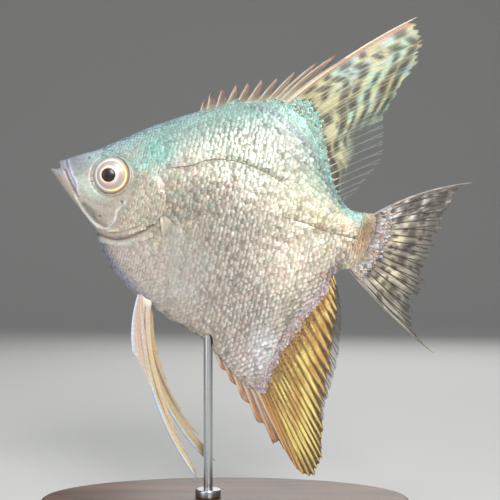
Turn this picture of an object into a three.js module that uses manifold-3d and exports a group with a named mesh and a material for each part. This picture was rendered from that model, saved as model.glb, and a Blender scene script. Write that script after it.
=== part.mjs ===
// A freshwater angelfish, Pterophyllum scalare: a still, life-size model on a display stand.
//
// Units are millimetres. The part's frame has +Z up and its origin at the centre of the
// stand's underside. The fish swims towards -X, so its left flank faces -Y.
//
// The fish is drawn in a frame of its own: x runs from the tip of the upper lip to the tail,
// z runs up and y runs to the fish's right. Its group pitches that frame nose up and lifts it
// over the stand. Its flesh is one lofted solid, parted by thin cuts into head, jaws, gill
// covers, trunk and tail stem. Each fin is one corrugated sheet of rays joined by web.

import * as THREE from "three";
import { mergeVertices } from "three/addons/utils/BufferGeometryUtils.js";
import Module from "manifold-3d";

const wasm = await Module();
wasm.setup();

// ---------------------------------------------------------------- driving dimensions

const PITCH = THREE.MathUtils.degToRad(12.5); // nose up
const LIP_HEIGHT = 92; // tip of the upper lip above the floor
const LIP_REACH = -41.5; // its place along X

const GAP = 0.3; // between neighbouring pieces
const WIDE = 12; // sideways, beyond the fish's flanks
const LEFT = -1; // the sign of y on the fish's left
const RIGHT = 1;

const RING_STEP = 3.5; // between the body's rings, along its outline
const HEAD_RING_STEP = 2.1;
const HEAD_END = 12; // rings are closer in front of this station
const RING_QUARTER = 6; // points on a quarter of a ring

const COVER_RISE = 0.35; // how far a gill cover stands off the head
const COVER_DEPTH = 0.7; // and how deep it is let in

const EYE = { x: 14.4, z: -1, radius: 4.5, bulge: 2.5, depth: 1.45 };
const MOUTH = { x: 0.9, z: -1.75, length: 1.9, width: 0.95, height: 0.75 };

const RIB = 0.5; // half the thickness of a fin at a ray's root
const RIB_TIP = 0.32;
const WEB = 0.25; // half the thickness of the web between rays

const BASE = { length: 92, width: 54, thickness: 8, bevel: 1 };
const ROD = { station: 46.4, radius: 1.15, socket: 6 }; // station: where it meets the belly
const COLLAR = { radius: 3.2, height: 1.8 };

// ---------------------------------------------------------------- curves

/** A smooth function through [x, value] points that never overshoots them. */
function through(points) {
  const slopes = points
    .slice(1)
    .map(([x, value], i) => (value - points[i][1]) / (x - points[i][0]));
  const tangents = points.map((_, i) => {
    const before = slopes[i - 1] ?? slopes[i];
    const after = slopes[i] ?? before;
    return before * after <= 0 ? 0 : (2 * before * after) / (before + after);
  });
  const last = points.length - 2;
  return (x) => {
    const found = points.findIndex(([end]) => end > x);
    const i = found < 0 ? last : Math.min(Math.max(found - 1, 0), last);
    const span = points[i + 1][0] - points[i][0];
    const t = Math.min(Math.max((x - points[i][0]) / span, 0), 1);
    const [t2, t3] = [t * t, t * t * t];
    return (
      (2 * t3 - 3 * t2 + 1) * points[i][1] +
      (t3 - 2 * t2 + t) * span * tangents[i] +
      (3 * t2 - 2 * t3) * points[i + 1][1] +
      (t3 - t2) * span * tangents[i + 1]
    );
  };
}

/** Points evenly spread on a smooth curve through [x, z] points. */
function smooth(points, count) {
  const curve = new THREE.SplineCurve(points.map(([x, z]) => new THREE.Vector2(x, z)));
  return curve.getPoints(count).map((p) => [p.x, p.y]);
}

const mix = (a, b, t) => a + (b - a) * t;

// ---------------------------------------------------------------- solids

/** A closed geometry as a manifold-3d solid. */
function solidOf(geometry) {
  const bare = geometry.clone();
  bare.deleteAttribute("normal");
  bare.deleteAttribute("uv");
  const merged = mergeVertices(bare, 1e-4);
  return new wasm.Manifold(
    new wasm.Mesh({
      numProp: 3,
      vertProperties: merged.attributes.position.array,
      triVerts: new Uint32Array(merged.index.array),
    }),
  );
}

/** A manifold-3d solid as a geometry. */
function geometryOf(solid) {
  const { vertProperties, triVerts, numProp } = solid.getMesh();
  const geometry = new THREE.BufferGeometry();
  const positions = new THREE.InterleavedBuffer(vertProperties, numProp);
  geometry.setAttribute("position", new THREE.InterleavedBufferAttribute(positions, 3, 0));
  geometry.setIndex([...triVerts]);
  const plain = geometry.toNonIndexed();
  plain.computeVertexNormals();
  return plain;
}

/** A geometry from a list of [x, y, z] points and a list of triangles. */
function meshOf(points, triangles) {
  const geometry = new THREE.BufferGeometry();
  geometry.setAttribute("position", new THREE.Float32BufferAttribute(points.flat(), 3));
  geometry.setIndex(triangles.flat());
  return geometry;
}

/** A closed skin over rings of equal length, with a fan at each end. */
function loft(rings) {
  const size = rings[0].length;
  const points = rings.flat();
  const triangles = [];
  for (let r = 0; r < rings.length - 1; r++) {
    for (let i = 0; i < size; i++) {
      const [a, b] = [r * size + i, r * size + ((i + 1) % size)];
      triangles.push([b, a, a + size], [b + size, b, a + size]);
    }
  }
  for (const [r, turned] of [[0, true], [rings.length - 1, false]]) {
    const hub = points.length;
    points.push([0, 1, 2].map((k) => rings[r].reduce((sum, p) => sum + p[k], 0) / size));
    for (let i = 0; i < size; i++) {
      const [a, b] = [r * size + i, r * size + ((i + 1) % size)];
      triangles.push(turned ? [a, b, hub] : [b, a, hub]);
    }
  }
  return meshOf(points, triangles);
}

/** A side-view outline of [x, z] points made solid, right across the fish or from y to y. */
function prism(outline, from = -WIDE, to = WIDE) {
  const shape = new THREE.Shape(outline.map(([x, z]) => new THREE.Vector2(x, z)));
  const geometry = new THREE.ExtrudeGeometry(shape, { depth: to - from, bevelEnabled: false });
  geometry.rotateX(Math.PI / 2);
  geometry.translate(0, to, 0);
  return solidOf(geometry);
}

/** A side-view line moved sideways by a distance. */
function beside(line, distance) {
  return line.map(([x, z], i) => {
    const [before, after] = [line[Math.max(i - 1, 0)], line[Math.min(i + 1, line.length - 1)]];
    const length = Math.hypot(after[0] - before[0], after[1] - before[1]);
    return [
      x - ((after[1] - before[1]) / length) * distance,
      z + ((after[0] - before[0]) / length) * distance,
    ];
  });
}

/** A thin blade across the body along a smooth side-view line, for a parting cut. */
function blade(points) {
  const line = smooth(points, 2 * points.length);
  return prism([...beside(line, GAP / 2), ...beside(line, -GAP / 2).reverse()]);
}

/** An ellipsoid. */
function ellipsoid(x, y, z, rx, ry, rz, around, up) {
  const geometry = new THREE.SphereGeometry(1, around, up);
  geometry.rotateX(Math.PI / 2);
  geometry.scale(rx, ry, rz);
  geometry.translate(x, y, z);
  return solidOf(geometry);
}

// ---------------------------------------------------------------- the body's form

const SNOUT = -1.5; // the first ring, at the tip of the lower jaw
const TAIL = 84; // the last ring, beyond the scaled end of the tail stem

/** Height of the back, along the fish. */
const back = through([
  [SNOUT, -2.1], [0, 0], [2.3, 1.4], [5.7, 3.3], [8.5, 4.7], [10.4, 6.2], [13.5, 8.5],
  [17.9, 11.8], [22.4, 14.8], [31.4, 19.9], [38.4, 23.2], [46.8, 25.7], [52.5, 26.5],
  [56.6, 25.3], [58.8, 23.4], [61, 20.6], [65.3, 13.8], [69.7, 6.7], [71.8, 4.8], [75.5, 3.9],
  [80.6, 4.7], [TAIL, 5.6],
]);

/** Height of the throat, breast, belly and the scaled root of the anal fin. */
const belly = through([
  [SNOUT, -2.8], [-0.8, -3.5], [1.1, -5.1], [4.3, -7.9], [7.5, -10.5], [10.5, -12.9],
  [12.2, -14.8], [13.6, -17.3], [15.8, -20.4], [18.8, -23.6], [22.2, -26.4], [26.2, -29.1],
  [30.3, -30.6], [35.4, -32.5], [43.7, -35.3], [49.7, -39.5], [56.6, -43.9], [60.4, -45.2],
  [61.8, -44.2], [62.5, -40.6], [63.7, -33.6], [65.8, -28.4], [70.1, -18.4], [71.6, -14.7],
  [72.6, -12.5], [74.2, -11.1], [77.2, -10.9], [TAIL, -13],
]);

/** Height at which the body is widest. */
const axis = through([
  [SNOUT, -2.4], [0, -2.2], [8, -3.2], [16, -4], [26, -4.5], [45, -3], [60, -3], [TAIL, -3.4],
]);

/** Half the body's width there. */
const flank = through([
  [SNOUT, 0.85], [0, 1.5], [2.3, 2.15], [5.7, 3.2], [9, 4.2], [13.5, 5.1], [20, 6],
  [27, 6.5], [34, 6.7], [42, 6.5], [50, 5.9], [58, 4.8], [66, 3.6], [72, 2.8], [77, 2.25],
  [TAIL, 1.5],
]);

/** How lean a section is: 0.5 is an ellipse, and 1 a lens with sharp edges. */
const lean = through([
  [SNOUT, 0.5], [8, 0.5], [20, 0.55], [30, 0.66], [42, 0.85], [52, 1.15], [60, 1.4],
  [67, 1.15], [73, 0.75], [TAIL, 0.6],
]);

/** Half the thickness of the blunt edges that the fins grow from. */
const ridge = through([[SNOUT, 0.3], [20, 0.4], [30, 0.75], [74, 0.8], [TAIL, 0.8]]);

/** The body's ring at a station: down its right side, and up its left. */
function ring(x, grow) {
  const [top, bottom, middle] = [back(x) + grow, belly(x) - grow, axis(x)];
  const edge = Math.max(ridge(x) + grow, 0.05);
  const wide = Math.max(flank(x) + grow - edge, 0.05);
  const side = [];
  for (let i = 0; i <= 2 * RING_QUARTER; i++) {
    const angle = (i * Math.PI) / 2 / RING_QUARTER;
    const height = Math.cos(angle);
    const z = middle + height * (height > 0 ? top - middle : middle - bottom);
    side.push([z, edge + wide * Math.sin(angle) ** (2 * lean(x))]);
  }
  return [
    ...side.map(([z, y]) => [x, y, z]),
    ...side.reverse().map(([z, y]) => [x, -y, z]),
  ];
}

/** Stations of the rings, closer on the head and where the outline is steep. */
function stations() {
  const steepness = (f, x) => (f(x + 0.2) - f(x - 0.2)) / 0.4;
  const found = [];
  for (let x = SNOUT; x < TAIL; ) {
    found.push(x);
    const slope = Math.max(Math.abs(steepness(back, x)), Math.abs(steepness(belly, x)));
    x += (x < HEAD_END ? HEAD_RING_STEP : RING_STEP) / Math.hypot(1, slope);
  }
  return [...found, TAIL];
}

const STATIONS = stations();

/** The whole body as one solid, thicker all round by `grow`. */
function body(grow = 0) {
  return solidOf(loft(STATIONS.map((x) => ring(x, grow))));
}

/** Half the body's width at a height z of a station x. */
function halfWidth(x, z) {
  const reach = z > axis(x) ? back(x) - axis(x) : axis(x) - belly(x);
  const height = Math.min(Math.abs(z - axis(x)) / reach, 1);
  return ridge(x) + (flank(x) - ridge(x)) * (1 - height ** 2) ** lean(x);
}

// ---------------------------------------------------------------- flesh

/** The scaled end of the tail stem, from its top to its bottom, where the tail fin begins. */
const TAIL_END = [[80.4, 5.6], [81.6, 2.4], [82, 0], [81.2, -3.6], [79.6, -7.8], [76.6, -11.8]];

/** The scaled root of the tail fin and the rest of the loft behind it. */
const behindTail = prism([...smooth(TAIL_END, 10), [90, -20], [90, 12]]);

/** The open mouth: a notch between the lips, and a small hollow behind it. */
const gape = prism([
  [-4, 3], [-0.25, 0.1], [0.45, -0.7], [2.2, -1.8], [0.7, -2.05], [-4, -2.2],
]).add(ellipsoid(MOUTH.x, 0, MOUTH.z, MOUTH.length, MOUTH.width, MOUTH.height, 12, 6));

/** Parting cuts across the body, as side-view lines. */
const CUTS = {
  jawsFromHead: [
    [1.3, 2.4], [2, 0.7], [3.4, -1.7], [5.2, -3.8], [6.3, -5.4], [7, -7.4], [7.3, -9],
    [7.6, -12],
  ],
  upperFromLowerJaw: [[1.9, -1.6], [3.4, -3.7], [4.8, -5.5], [6.2, -7.3], [7.2, -8.4]],
  headFromTrunk: [
    [21.6, 17], [25.1, 8.2], [27.2, 0], [29.2, -4.5], [29.1, -7.3], [27.8, -9.8],
    [25.7, -12.2], [22.9, -14.4], [19.8, -15.7], [16.2, -16.1], [13, -15.3], [10.4, -15.9],
  ],
  trunkFromTail: [[70, 8.5], [71.4, -3], [72.4, -15]],
};

/** A gill cover's outline: its free edge, then the preopercle's edge in front. */
const COVER = smooth(
  [
    [21.6, 0.6], [24.4, 1.2], [26.8, -2.1], [28.3, -4.6], [28.1, -7.1], [27, -9.1],
    [25, -11.4], [22.5, -13.6], [19.8, -14.7], [16.8, -14.8], [15.2, -13.6], [17, -11.7],
    [17.3, -10.1], [18.2, -8.4], [19.8, -5.6], [20.6, -2.5], [21.6, 0.6],
  ],
  26,
).slice(0, -1);

/** The piece of a parted solid that lies at a point of the side view. */
function pieceAt(pieces, x, z) {
  const needle = prism([[x, z], [x + 0.2, z], [x, z + 0.2]]);
  return pieces.find((piece) => piece.intersect(needle).volume() > 0);
}

/** A layer of one flank between two depths, inside a side-view outline. */
function flankLayer(side, outline, outer, inner) {
  const [from, to] = side === LEFT ? [-WIDE, -1] : [1, WIDE];
  return body(outer).subtract(body(inner)).intersect(prism(outline, from, to));
}

/** The gill cover of one side, let into the head and standing a little proud of it. */
function gillCover(side) {
  return flankLayer(side, COVER, COVER_RISE, -COVER_DEPTH);
}

/** The seat of a gill cover in the head, larger than the cover by the gap. */
function gillSeat(side) {
  return flankLayer(side, beside(COVER, GAP), 2 * COVER_RISE, -COVER_DEPTH - GAP);
}

/** An eyeball, as a flattened globe set into the side of the head. */
function eyeball(side, grow = 0) {
  const { x, z, radius, bulge, depth } = EYE;
  const y = side * (halfWidth(x, z) - depth);
  return ellipsoid(x, y, z, radius + grow, bulge + grow, radius + grow, 20, 8);
}

/** The fish's place over the stand. */
const placing = new THREE.Matrix4()
  .makeTranslation(LIP_REACH, 0, LIP_HEIGHT)
  .multiply(new THREE.Matrix4().makeRotationY(PITCH));

/** Where the rod meets the keel of the belly, over the floor, and where its socket ends. */
const keel = new THREE.Vector3(ROD.station, 0, belly(ROD.station)).applyMatrix4(placing);
const rodTop = keel.z + ROD.socket;

/** An upright cylinder round the rod's axis, from one height over the floor to another. */
function upright(radius, from, to, around = 16) {
  const geometry = new THREE.CylinderGeometry(radius, radius, to - from, around);
  geometry.rotateX(Math.PI / 2);
  geometry.translate(keel.x, 0, (from + to) / 2);
  return geometry;
}

/** The hole in the belly for the rod, in the fish's own frame. */
const rodSocket = solidOf(
  upright(ROD.radius + GAP, keel.z - ROD.socket, rodTop + GAP).applyMatrix4(
    placing.clone().invert(),
  ),
);

const flesh = body().subtract(behindTail).subtract(gape);
const parted = Object.values(CUTS)
  .reduce((solid, line) => solid.subtract(blade(line)), flesh)
  .decompose();

const head = [LEFT, RIGHT].reduce(
  (solid, side) => solid.subtract(gillSeat(side)).subtract(eyeball(side, GAP)),
  pieceAt(parted, 10, -6),
);
const trunk = pieceAt(parted, 45, -5).subtract(rodSocket);

// ---------------------------------------------------------------- fins

/** A ray's centre line: from base to tip, bent to one side in the middle, as [x, z]. */
function along({ base, tip, bend = 0 }, t) {
  const sway = 4 * bend * t * (1 - t);
  const length = Math.hypot(tip[0] - base[0], tip[1] - base[1]);
  return [
    mix(base[0], tip[0], t) - (sway * (tip[1] - base[1])) / length,
    mix(base[1], tip[1], t) + (sway * (tip[0] - base[0])) / length,
  ];
}

/** Rays given one by one, each [base, tip, bend]. */
function asRays(spread) {
  return spread.map(([base, tip, bend]) => ({ base, tip, bend }));
}

/** The first part of a ray, up to a share of its length. */
function partOf(ray, share) {
  return { base: ray.base, tip: along(ray, share), bend: (ray.bend ?? 0) * share ** 2 };
}

/** Rays evenly spread between a few guide rays, each [base, tip, bend]. */
function fan(guides, count) {
  const bases = smooth(guides.map(([base]) => base), count - 1);
  const tips = smooth(guides.map(([, tip]) => tip), count - 1);
  const bends = smooth(guides.map(([, , bend], i) => [i, bend ?? 0]), count - 1);
  return bases.map((base, i) => ({ base, tip: tips[i], bend: bends[i][1] }));
}

/**
 * A fin as one closed sheet, drawn in the side view. Each ray is a rib, and the web between
 * two rays is thinner and ends short of their tips by the share `notch`. The fin bows
 * sideways towards its tips by `bow`.
 */
function finGeometry({ rays, rows = 6, notch = 0.04, bow = 0, rib = RIB }) {
  const columns = [];
  rays.forEach((ray, i) => {
    columns.push((t) => [...along(ray, t), mix(rib, RIB_TIP, t)]);
    const next = rays[i + 1];
    if (!next) return;
    columns.push((t) => {
      const [a, b] = [along(ray, t * (1 - notch)), along(next, t * (1 - notch))];
      return [mix(a[0], b[0], 0.5), mix(a[1], b[1], 0.5), WEB];
    });
  });
  const points = [];
  for (const side of [1, -1]) {
    for (const column of columns) {
      for (let row = 0; row <= rows; row++) {
        const t = row / rows;
        const [x, z, half] = column(t);
        points.push([x, bow * t * t + side * half, z]);
      }
    }
  }
  const at = (back, column, row) => (back * columns.length + column) * (rows + 1) + row;
  const quads = [];
  for (let c = 0; c < columns.length - 1; c++) {
    for (let r = 0; r < rows; r++) {
      quads.push([at(0, c, r), at(0, c, r + 1), at(0, c + 1, r + 1), at(0, c + 1, r)]);
      quads.push([at(1, c, r), at(1, c + 1, r), at(1, c + 1, r + 1), at(1, c, r + 1)]);
    }
    quads.push([at(0, c, 0), at(0, c + 1, 0), at(1, c + 1, 0), at(1, c, 0)]);
    quads.push([at(0, c, rows), at(1, c, rows), at(1, c + 1, rows), at(0, c + 1, rows)]);
  }
  const end = columns.length - 1;
  for (let r = 0; r < rows; r++) {
    quads.push([at(0, 0, r), at(1, 0, r), at(1, 0, r + 1), at(0, 0, r + 1)]);
    quads.push([at(0, end, r), at(0, end, r + 1), at(1, end, r + 1), at(1, end, r)]);
  }
  const triangles = quads.flatMap(([a, b, c, d]) => [[a, b, c], [a, c, d]]);
  const geometry = meshOf(points, triangles);
  if (solidOf(geometry).volume() < 0) {
    geometry.setIndex(triangles.map(([a, b, c]) => [a, c, b]).flat());
  }
  return geometry;
}

const grownBody = body(GAP);

/** A fin's solid, cut clear of the body. */
function fin(options) {
  return solidOf(finGeometry(options)).subtract(grownBody);
}

/** Spines of the dorsal fin, each [base, tip, bend], from the nape backwards. */
const DORSAL_SPINES = [
  [[31.8, 18.6], [32.1, 23]], [[33.5, 19.4], [33.2, 25.5]], [[35.4, 20.2], [35.9, 26.5]],
  [[37.5, 21.2], [39.1, 28.2]], [[39.9, 22], [41.9, 29.3]], [[42.1, 22.8], [45.1, 30.8]],
  [[44.4, 23.4], [48.8, 32.1], 0.1], [[46.6, 23.8], [52.8, 34.5], 0.3],
  [[48.3, 24.3], [57.5, 37.8], 0.5], [[49.8, 24.7], [62, 40.9], 0.9],
  [[50.9, 24.9], [64.4, 40.6], 0.6],
];

/** Guide rays of the dorsal fin's soft part, from its leading edge to its last ray. */
const DORSAL_GUIDES = [
  [[51.4, 25], [80.1, 55.1], 1.3], [[53.6, 24.8], [82.7, 51.8], 1.2],
  [[55.7, 24.2], [83.4, 48.6], 1], [[57.9, 22.5], [83.4, 45], 0.9],
  [[60.1, 19.8], [80.4, 37.4], 0.7], [[62.4, 16.4], [77.9, 29.4], 0.5],
  [[64.4, 13], [78.8, 24.1], 0.4], [[66.7, 9.2], [79, 18.1], 0.3],
  [[68.7, 5.9], [75.6, 11], 0.2], [[70.2, 4.4], [72.9, 6.9], 0.1],
];

/** Spines of the anal fin, each [base, tip], from the vent backwards. */
const ANAL_SPINES = [
  [[47.6, -36.6], [51, -41.9]], [[50, -38.2], [53.9, -44.4]], [[52.6, -39.8], [57.5, -48]],
  [[55.3, -41.5], [62.4, -52.8]], [[58, -43.2], [67.6, -57.4]],
];

/** Guide rays of the anal fin's soft part. */
const ANAL_GUIDES = [
  [[59.4, -43.6], [71.2, -58.6]], [[60.8, -42.8], [75.6, -63]], [[61.1, -40.4], [79.4, -63.2]],
  [[61.5, -37.2], [80.5, -59.6]], [[61.9, -34.2], [79.9, -55]], [[63, -30.8], [78.8, -48.6]],
  [[64.9, -27], [78.8, -42.4]], [[66.9, -22.4], [79, -36]], [[69, -17.6], [78.4, -28]],
  [[70.6, -13.9], [77.2, -22]], [[71.9, -11.2], [75.2, -16.8]],
];

/** Guide rays of the tail fin, from its upper lobe to its lower one. */
const TAIL_GUIDES = [
  [[81.1, 5], [103, 17.4], 1.3], [[81.9, 3.4], [100.4, 12], 0.7],
  [[82.3, 1.4], [98.4, 6.8], 0.2], [[82.3, -0.9], [98.6, 0.8]], [[81.7, -3.6], [96.8, -4.4]],
  [[81, -5.9], [97.5, -9.8]], [[80.1, -7.9], [97.1, -15.2], -0.2],
  [[79, -9.8], [97.6, -21.4], -0.6], [[77.6, -11.5], [102.4, -26.8], -0.9],
];

/** The tail fin, which begins behind the scaled end of the tail stem. */
function tailFin() {
  return solidOf(finGeometry({ rays: fan(TAIL_GUIDES, 14), rows: 3, bow: 1.2, rib: 0.6 }));
}

/** Rays of the left pelvic fin: its spine, its long first ray and the short ones behind. */
const PELVIC_LEFT = [
  [[26.8, -28.4], [29.2, -43.8], -1], [[27.6, -28.7], [50.9, -69.2], -3.9],
  [[28.4, -29], [49.7, -67], -3.7], [[29.2, -29.3], [44.8, -60.6], -2.7],
  [[30, -29.6], [38.5, -51.4], -1.3],
];

/** The right pelvic fin trails higher, and its second ray is nearly as long as the first. */
const PELVIC_RIGHT = [
  [[27.2, -28.6], [31, -44], -1.2], [[28, -28.9], [51.3, -65.2], -4.4],
  [[28.8, -29.2], [55.1, -65.8], -5], [[29.6, -29.5], [40.4, -52], -2],
  [[30.3, -29.8], [36.4, -45.8], -0.9],
];

/**
 * A pelvic fin, set off the keel and splayed outwards. Its short spine and the web behind the
 * spine are a second sheet, joined to the long soft rays.
 */
function pelvicFin(side, spread) {
  const splay = THREE.MathUtils.degToRad(5) * side;
  const root = -29.5;
  const [spine, ...soft] = asRays(spread);
  const front = [spine, partOf(soft[1], 0.34)];
  const sheets = [
    finGeometry({ rays: soft, rows: 5, notch: 0.1, rib: 0.55 }),
    finGeometry({ rays: front, rows: 2, rib: 0.5 }),
  ].map((geometry) => {
    geometry.translate(0, 0, -root);
    geometry.rotateX(splay);
    geometry.translate(0, 1.5 * side, root);
    return solidOf(geometry);
  });
  return sheets[0].add(sheets[1]).subtract(grownBody);
}

/** Guide rays of a pectoral fin, in the fan's own plane, from its root at the shoulder. */
const PECTORAL_GUIDES = [
  [[0, 1.5], [17.5, 1.2]], [[0.3, 0.6], [19.6, -4]], [[0.4, -0.4], [17.8, -10]],
  [[0, -1.5], [11.5, -13.6]],
];

/** A pectoral fin, hinged at the shoulder and fanned away from the flank. */
function pectoralFin(side) {
  const [x, z] = [29.8, -9.9];
  const geometry = finGeometry({ rays: fan(PECTORAL_GUIDES, 8), rows: 3, rib: 0.4 });
  geometry.rotateY(THREE.MathUtils.degToRad(20));
  geometry.rotateZ(THREE.MathUtils.degToRad(32) * side);
  geometry.translate(x, side * (halfWidth(x, z) + 0.5), z);
  return solidOf(geometry).subtract(grownBody);
}

// ---------------------------------------------------------------- stand

/** An oval foot with a bevelled upper edge and a blind hole for the rod. */
function standBase() {
  const { length, width, thickness, bevel } = BASE;
  const oval = new THREE.Shape().absellipse(
    0, 0, length / 2 - bevel, width / 2 - bevel, 0, 2 * Math.PI,
  );
  const geometry = new THREE.ExtrudeGeometry(oval, {
    depth: thickness - 2 * bevel,
    bevelThickness: bevel,
    bevelSize: bevel,
    bevelSegments: 1,
    curveSegments: 12,
  });
  geometry.translate(0, 0, bevel);
  const hole = upright(ROD.radius + GAP, thickness / 2, thickness * 2);
  return solidOf(geometry).subtract(solidOf(hole));
}

/** The rod, from the bottom of its hole in the base to the bottom of its socket in the belly. */
function standRod() {
  return solidOf(upright(ROD.radius, BASE.thickness / 2 + GAP, rodTop));
}

/** A turned collar round the rod's foot. */
function standCollar() {
  const { radius, height } = COLLAR;
  const bore = ROD.radius + GAP;
  const profile = [[bore, 0], [radius, 0], [radius, height], [bore, height], [bore, 0]];
  const points = profile.map(([r, z]) => new THREE.Vector2(r, z));
  const geometry = new THREE.LatheGeometry(points, 16);
  geometry.rotateX(Math.PI / 2);
  geometry.translate(keel.x, 0, BASE.thickness + GAP);
  return solidOf(geometry);
}

// ---------------------------------------------------------------- the model

const SILVER = { color: 0xb8b2a6, roughness: 0.35, metalness: 0.45 };
const PEARL = { color: 0xc9c2b4, roughness: 0.35, metalness: 0.4 };
const TEAL_RAY = { color: 0xa9bda3, roughness: 0.5, metalness: 0.15 };
const GOLD_RAY = { color: 0xc99a44, roughness: 0.5, metalness: 0.15 };
const CREAM_RAY = { color: 0xd8cbb0, roughness: 0.5, metalness: 0.1 };
const SMOKY_RAY = { color: 0x8a7f72, roughness: 0.5, metalness: 0.1 };
const GLASSY = { color: 0x2a2a2c, roughness: 0.1, metalness: 0 };
const WALNUT = { color: 0x4a3022, roughness: 0.45, metalness: 0 };
const STEEL = { color: 0xb9bcc0, roughness: 0.3, metalness: 1 };

/** A named sub-part with its own material. */
function node(name, solid, finish) {
  const mesh = new THREE.Mesh(geometryOf(solid), new THREE.MeshStandardMaterial(finish));
  mesh.name = name;
  return mesh;
}

const fish = new THREE.Group();
placing.decompose(fish.position, fish.quaternion, fish.scale);

fish.add(
  node("head", head, SILVER),
  node("upper_jaw", pieceAt(parted, 2.6, -1.4), PEARL),
  node("lower_jaw", pieceAt(parted, 2.4, -4.4), PEARL),
  node("trunk", trunk, SILVER),
  node("tail_stem", pieceAt(parted, 76, -4), SILVER),
);

const SIDES = [["left", LEFT, PELVIC_LEFT], ["right", RIGHT, PELVIC_RIGHT]];
for (const [word, side, pelvicRays] of SIDES) {
  fish.add(
    node(`gill_cover_${word}`, gillCover(side), PEARL),
    node(`eye_${word}`, eyeball(side), GLASSY),
    node(`pectoral_fin_${word}`, pectoralFin(side), CREAM_RAY),
    node(`pelvic_fin_${word}`, pelvicFin(side, pelvicRays), CREAM_RAY),
  );
}

fish.add(
  node("dorsal_fin_spines", fin({ rays: asRays(DORSAL_SPINES), rows: 2, notch: 0.2 }), TEAL_RAY),
  node("dorsal_fin_rays", fin({ rays: fan(DORSAL_GUIDES, 18), rows: 3, bow: 1.6 }), TEAL_RAY),
  node("anal_fin_spines", fin({ rays: asRays(ANAL_SPINES), rows: 2, notch: 0.16 }), GOLD_RAY),
  node("anal_fin_rays", fin({ rays: fan(ANAL_GUIDES, 18), rows: 3, bow: -1.4 }), GOLD_RAY),
  node("tail_fin", tailFin(), SMOKY_RAY),
);

const stand = new THREE.Group();
stand.add(
  node("stand_base", standBase(), WALNUT),
  node("stand_rod", standRod(), STEEL),
  node("stand_collar", standCollar(), STEEL),
);

const model = new THREE.Group();
model.add(fish, stand);

export default model;
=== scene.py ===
"""A freshwater angelfish, Pterophyllum scalare: a life-size model on a display stand.

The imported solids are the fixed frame. One skin is grown over the solids of flesh. It is
carved with the folds of the head, and overlapping scales lie on it. The fins are thin webs
with branching rays, and the eyes are glass. The stand is walnut and brushed steel.

The fish is shaped in a frame of its own, in millimetres: x runs from the tip of the upper lip
to the tail, z runs up, and y runs to the fish's right. FISH turns it nose up over the stand.
"""

import math
from contextlib import contextmanager

import bpy
import numpy as np
from mathutils import Matrix, Vector
from mathutils.bvhtree import BVHTree


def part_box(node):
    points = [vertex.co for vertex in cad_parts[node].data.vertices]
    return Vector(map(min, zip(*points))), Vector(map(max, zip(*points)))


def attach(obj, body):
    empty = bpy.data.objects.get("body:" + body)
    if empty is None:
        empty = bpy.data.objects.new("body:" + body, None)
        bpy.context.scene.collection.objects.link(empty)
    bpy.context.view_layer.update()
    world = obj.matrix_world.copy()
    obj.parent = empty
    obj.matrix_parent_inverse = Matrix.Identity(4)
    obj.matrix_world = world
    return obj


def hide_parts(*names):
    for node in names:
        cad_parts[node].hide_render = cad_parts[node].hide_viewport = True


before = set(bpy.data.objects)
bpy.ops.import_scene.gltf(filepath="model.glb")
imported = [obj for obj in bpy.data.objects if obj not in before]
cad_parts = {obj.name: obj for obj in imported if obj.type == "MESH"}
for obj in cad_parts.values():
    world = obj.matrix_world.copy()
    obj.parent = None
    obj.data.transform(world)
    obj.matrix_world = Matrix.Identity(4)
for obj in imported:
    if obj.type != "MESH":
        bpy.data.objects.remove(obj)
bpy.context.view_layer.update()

# ------------------------------------------------------------------ sizes, in millimetres

MM = 0.001
PITCH = math.radians(12.5)
LIP = Vector((-41.5, 0, 92))
FISH = (
    Matrix.Scale(MM, 4)
    @ Matrix.Translation(LIP)
    @ Matrix.Rotation(PITCH, 4, "Y")
)

GROWTH = 0.3  # how far the solids of flesh are grown, to close the cuts between them
VOXEL = 0.4  # the skin's grain
COAT_DEPTH = 0.28  # from the solids' surface down to the skin, where it is scaled
BARE_DEPTH = 0.06  # and where it is bare

SCALE_PITCH = 0.96  # between columns of scales on the flank
SCALE_ROW = 1.22
FINE_PITCH = 0.66  # on the nape, breast, gill covers and the roots of the fins
FINE_ROW = 0.76

LEFT = -1  # the sign of y on the fish's left
RIGHT = 1
WORDS = {LEFT: "left", RIGHT: "right"}

MARKING = "marking"  # the attribute that holds each point's colour and alpha

rng = np.random.default_rng(12)


# ------------------------------------------------------------------ making pieces


def only(*pieces):
    """Selects just these pieces, the first of them active."""
    bpy.ops.object.select_all(action="DESELECT")
    for piece in pieces:
        piece.select_set(True)
    bpy.context.view_layer.objects.active = pieces[0]


def started(name, primitive, **sizes):
    """Adds a primitive, alone selected, from which a piece is shaped."""
    bpy.ops.object.select_all(action="DESELECT")
    primitive(**sizes)
    piece = bpy.context.object
    piece.name = name
    return piece


def finish_modifier(piece, kind, **settings):
    """Adds a modifier to a piece and applies it."""
    only(piece)
    modifier = piece.modifiers.new(kind.title(), kind)
    for name, value in settings.items():
        setattr(modifier, name, value)
    bpy.ops.object.modifier_apply(modifier=modifier.name)


@contextmanager
def editing(piece, action=None, kind="VERT"):
    """Edit mode on one piece, with all or none of its mesh selected, or what was before."""
    only(piece)
    bpy.ops.object.mode_set(mode="EDIT")
    if action:
        bpy.ops.mesh.select_mode(type=kind)
        bpy.ops.mesh.select_all(action=action)
    yield
    bpy.ops.object.mode_set(mode="OBJECT")


def pick(piece, kind, chosen):
    """Selects just the chosen edges or faces of a piece, by a truth for each."""
    with editing(piece, "DESELECT", kind):
        pass
    parts = piece.data.edges if kind == "EDGE" else piece.data.polygons
    parts.foreach_set("select", np.asarray(chosen, bool))


def face_outwards(piece):
    with editing(piece, "SELECT"):
        bpy.ops.mesh.normals_make_consistent(inside=False)


def vectors_of(piece, field):
    flat = np.empty(len(piece.data.vertices) * 3, np.float32)
    piece.data.vertices.foreach_get(field, flat)
    return flat.reshape(-1, 3).astype(float)


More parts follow.
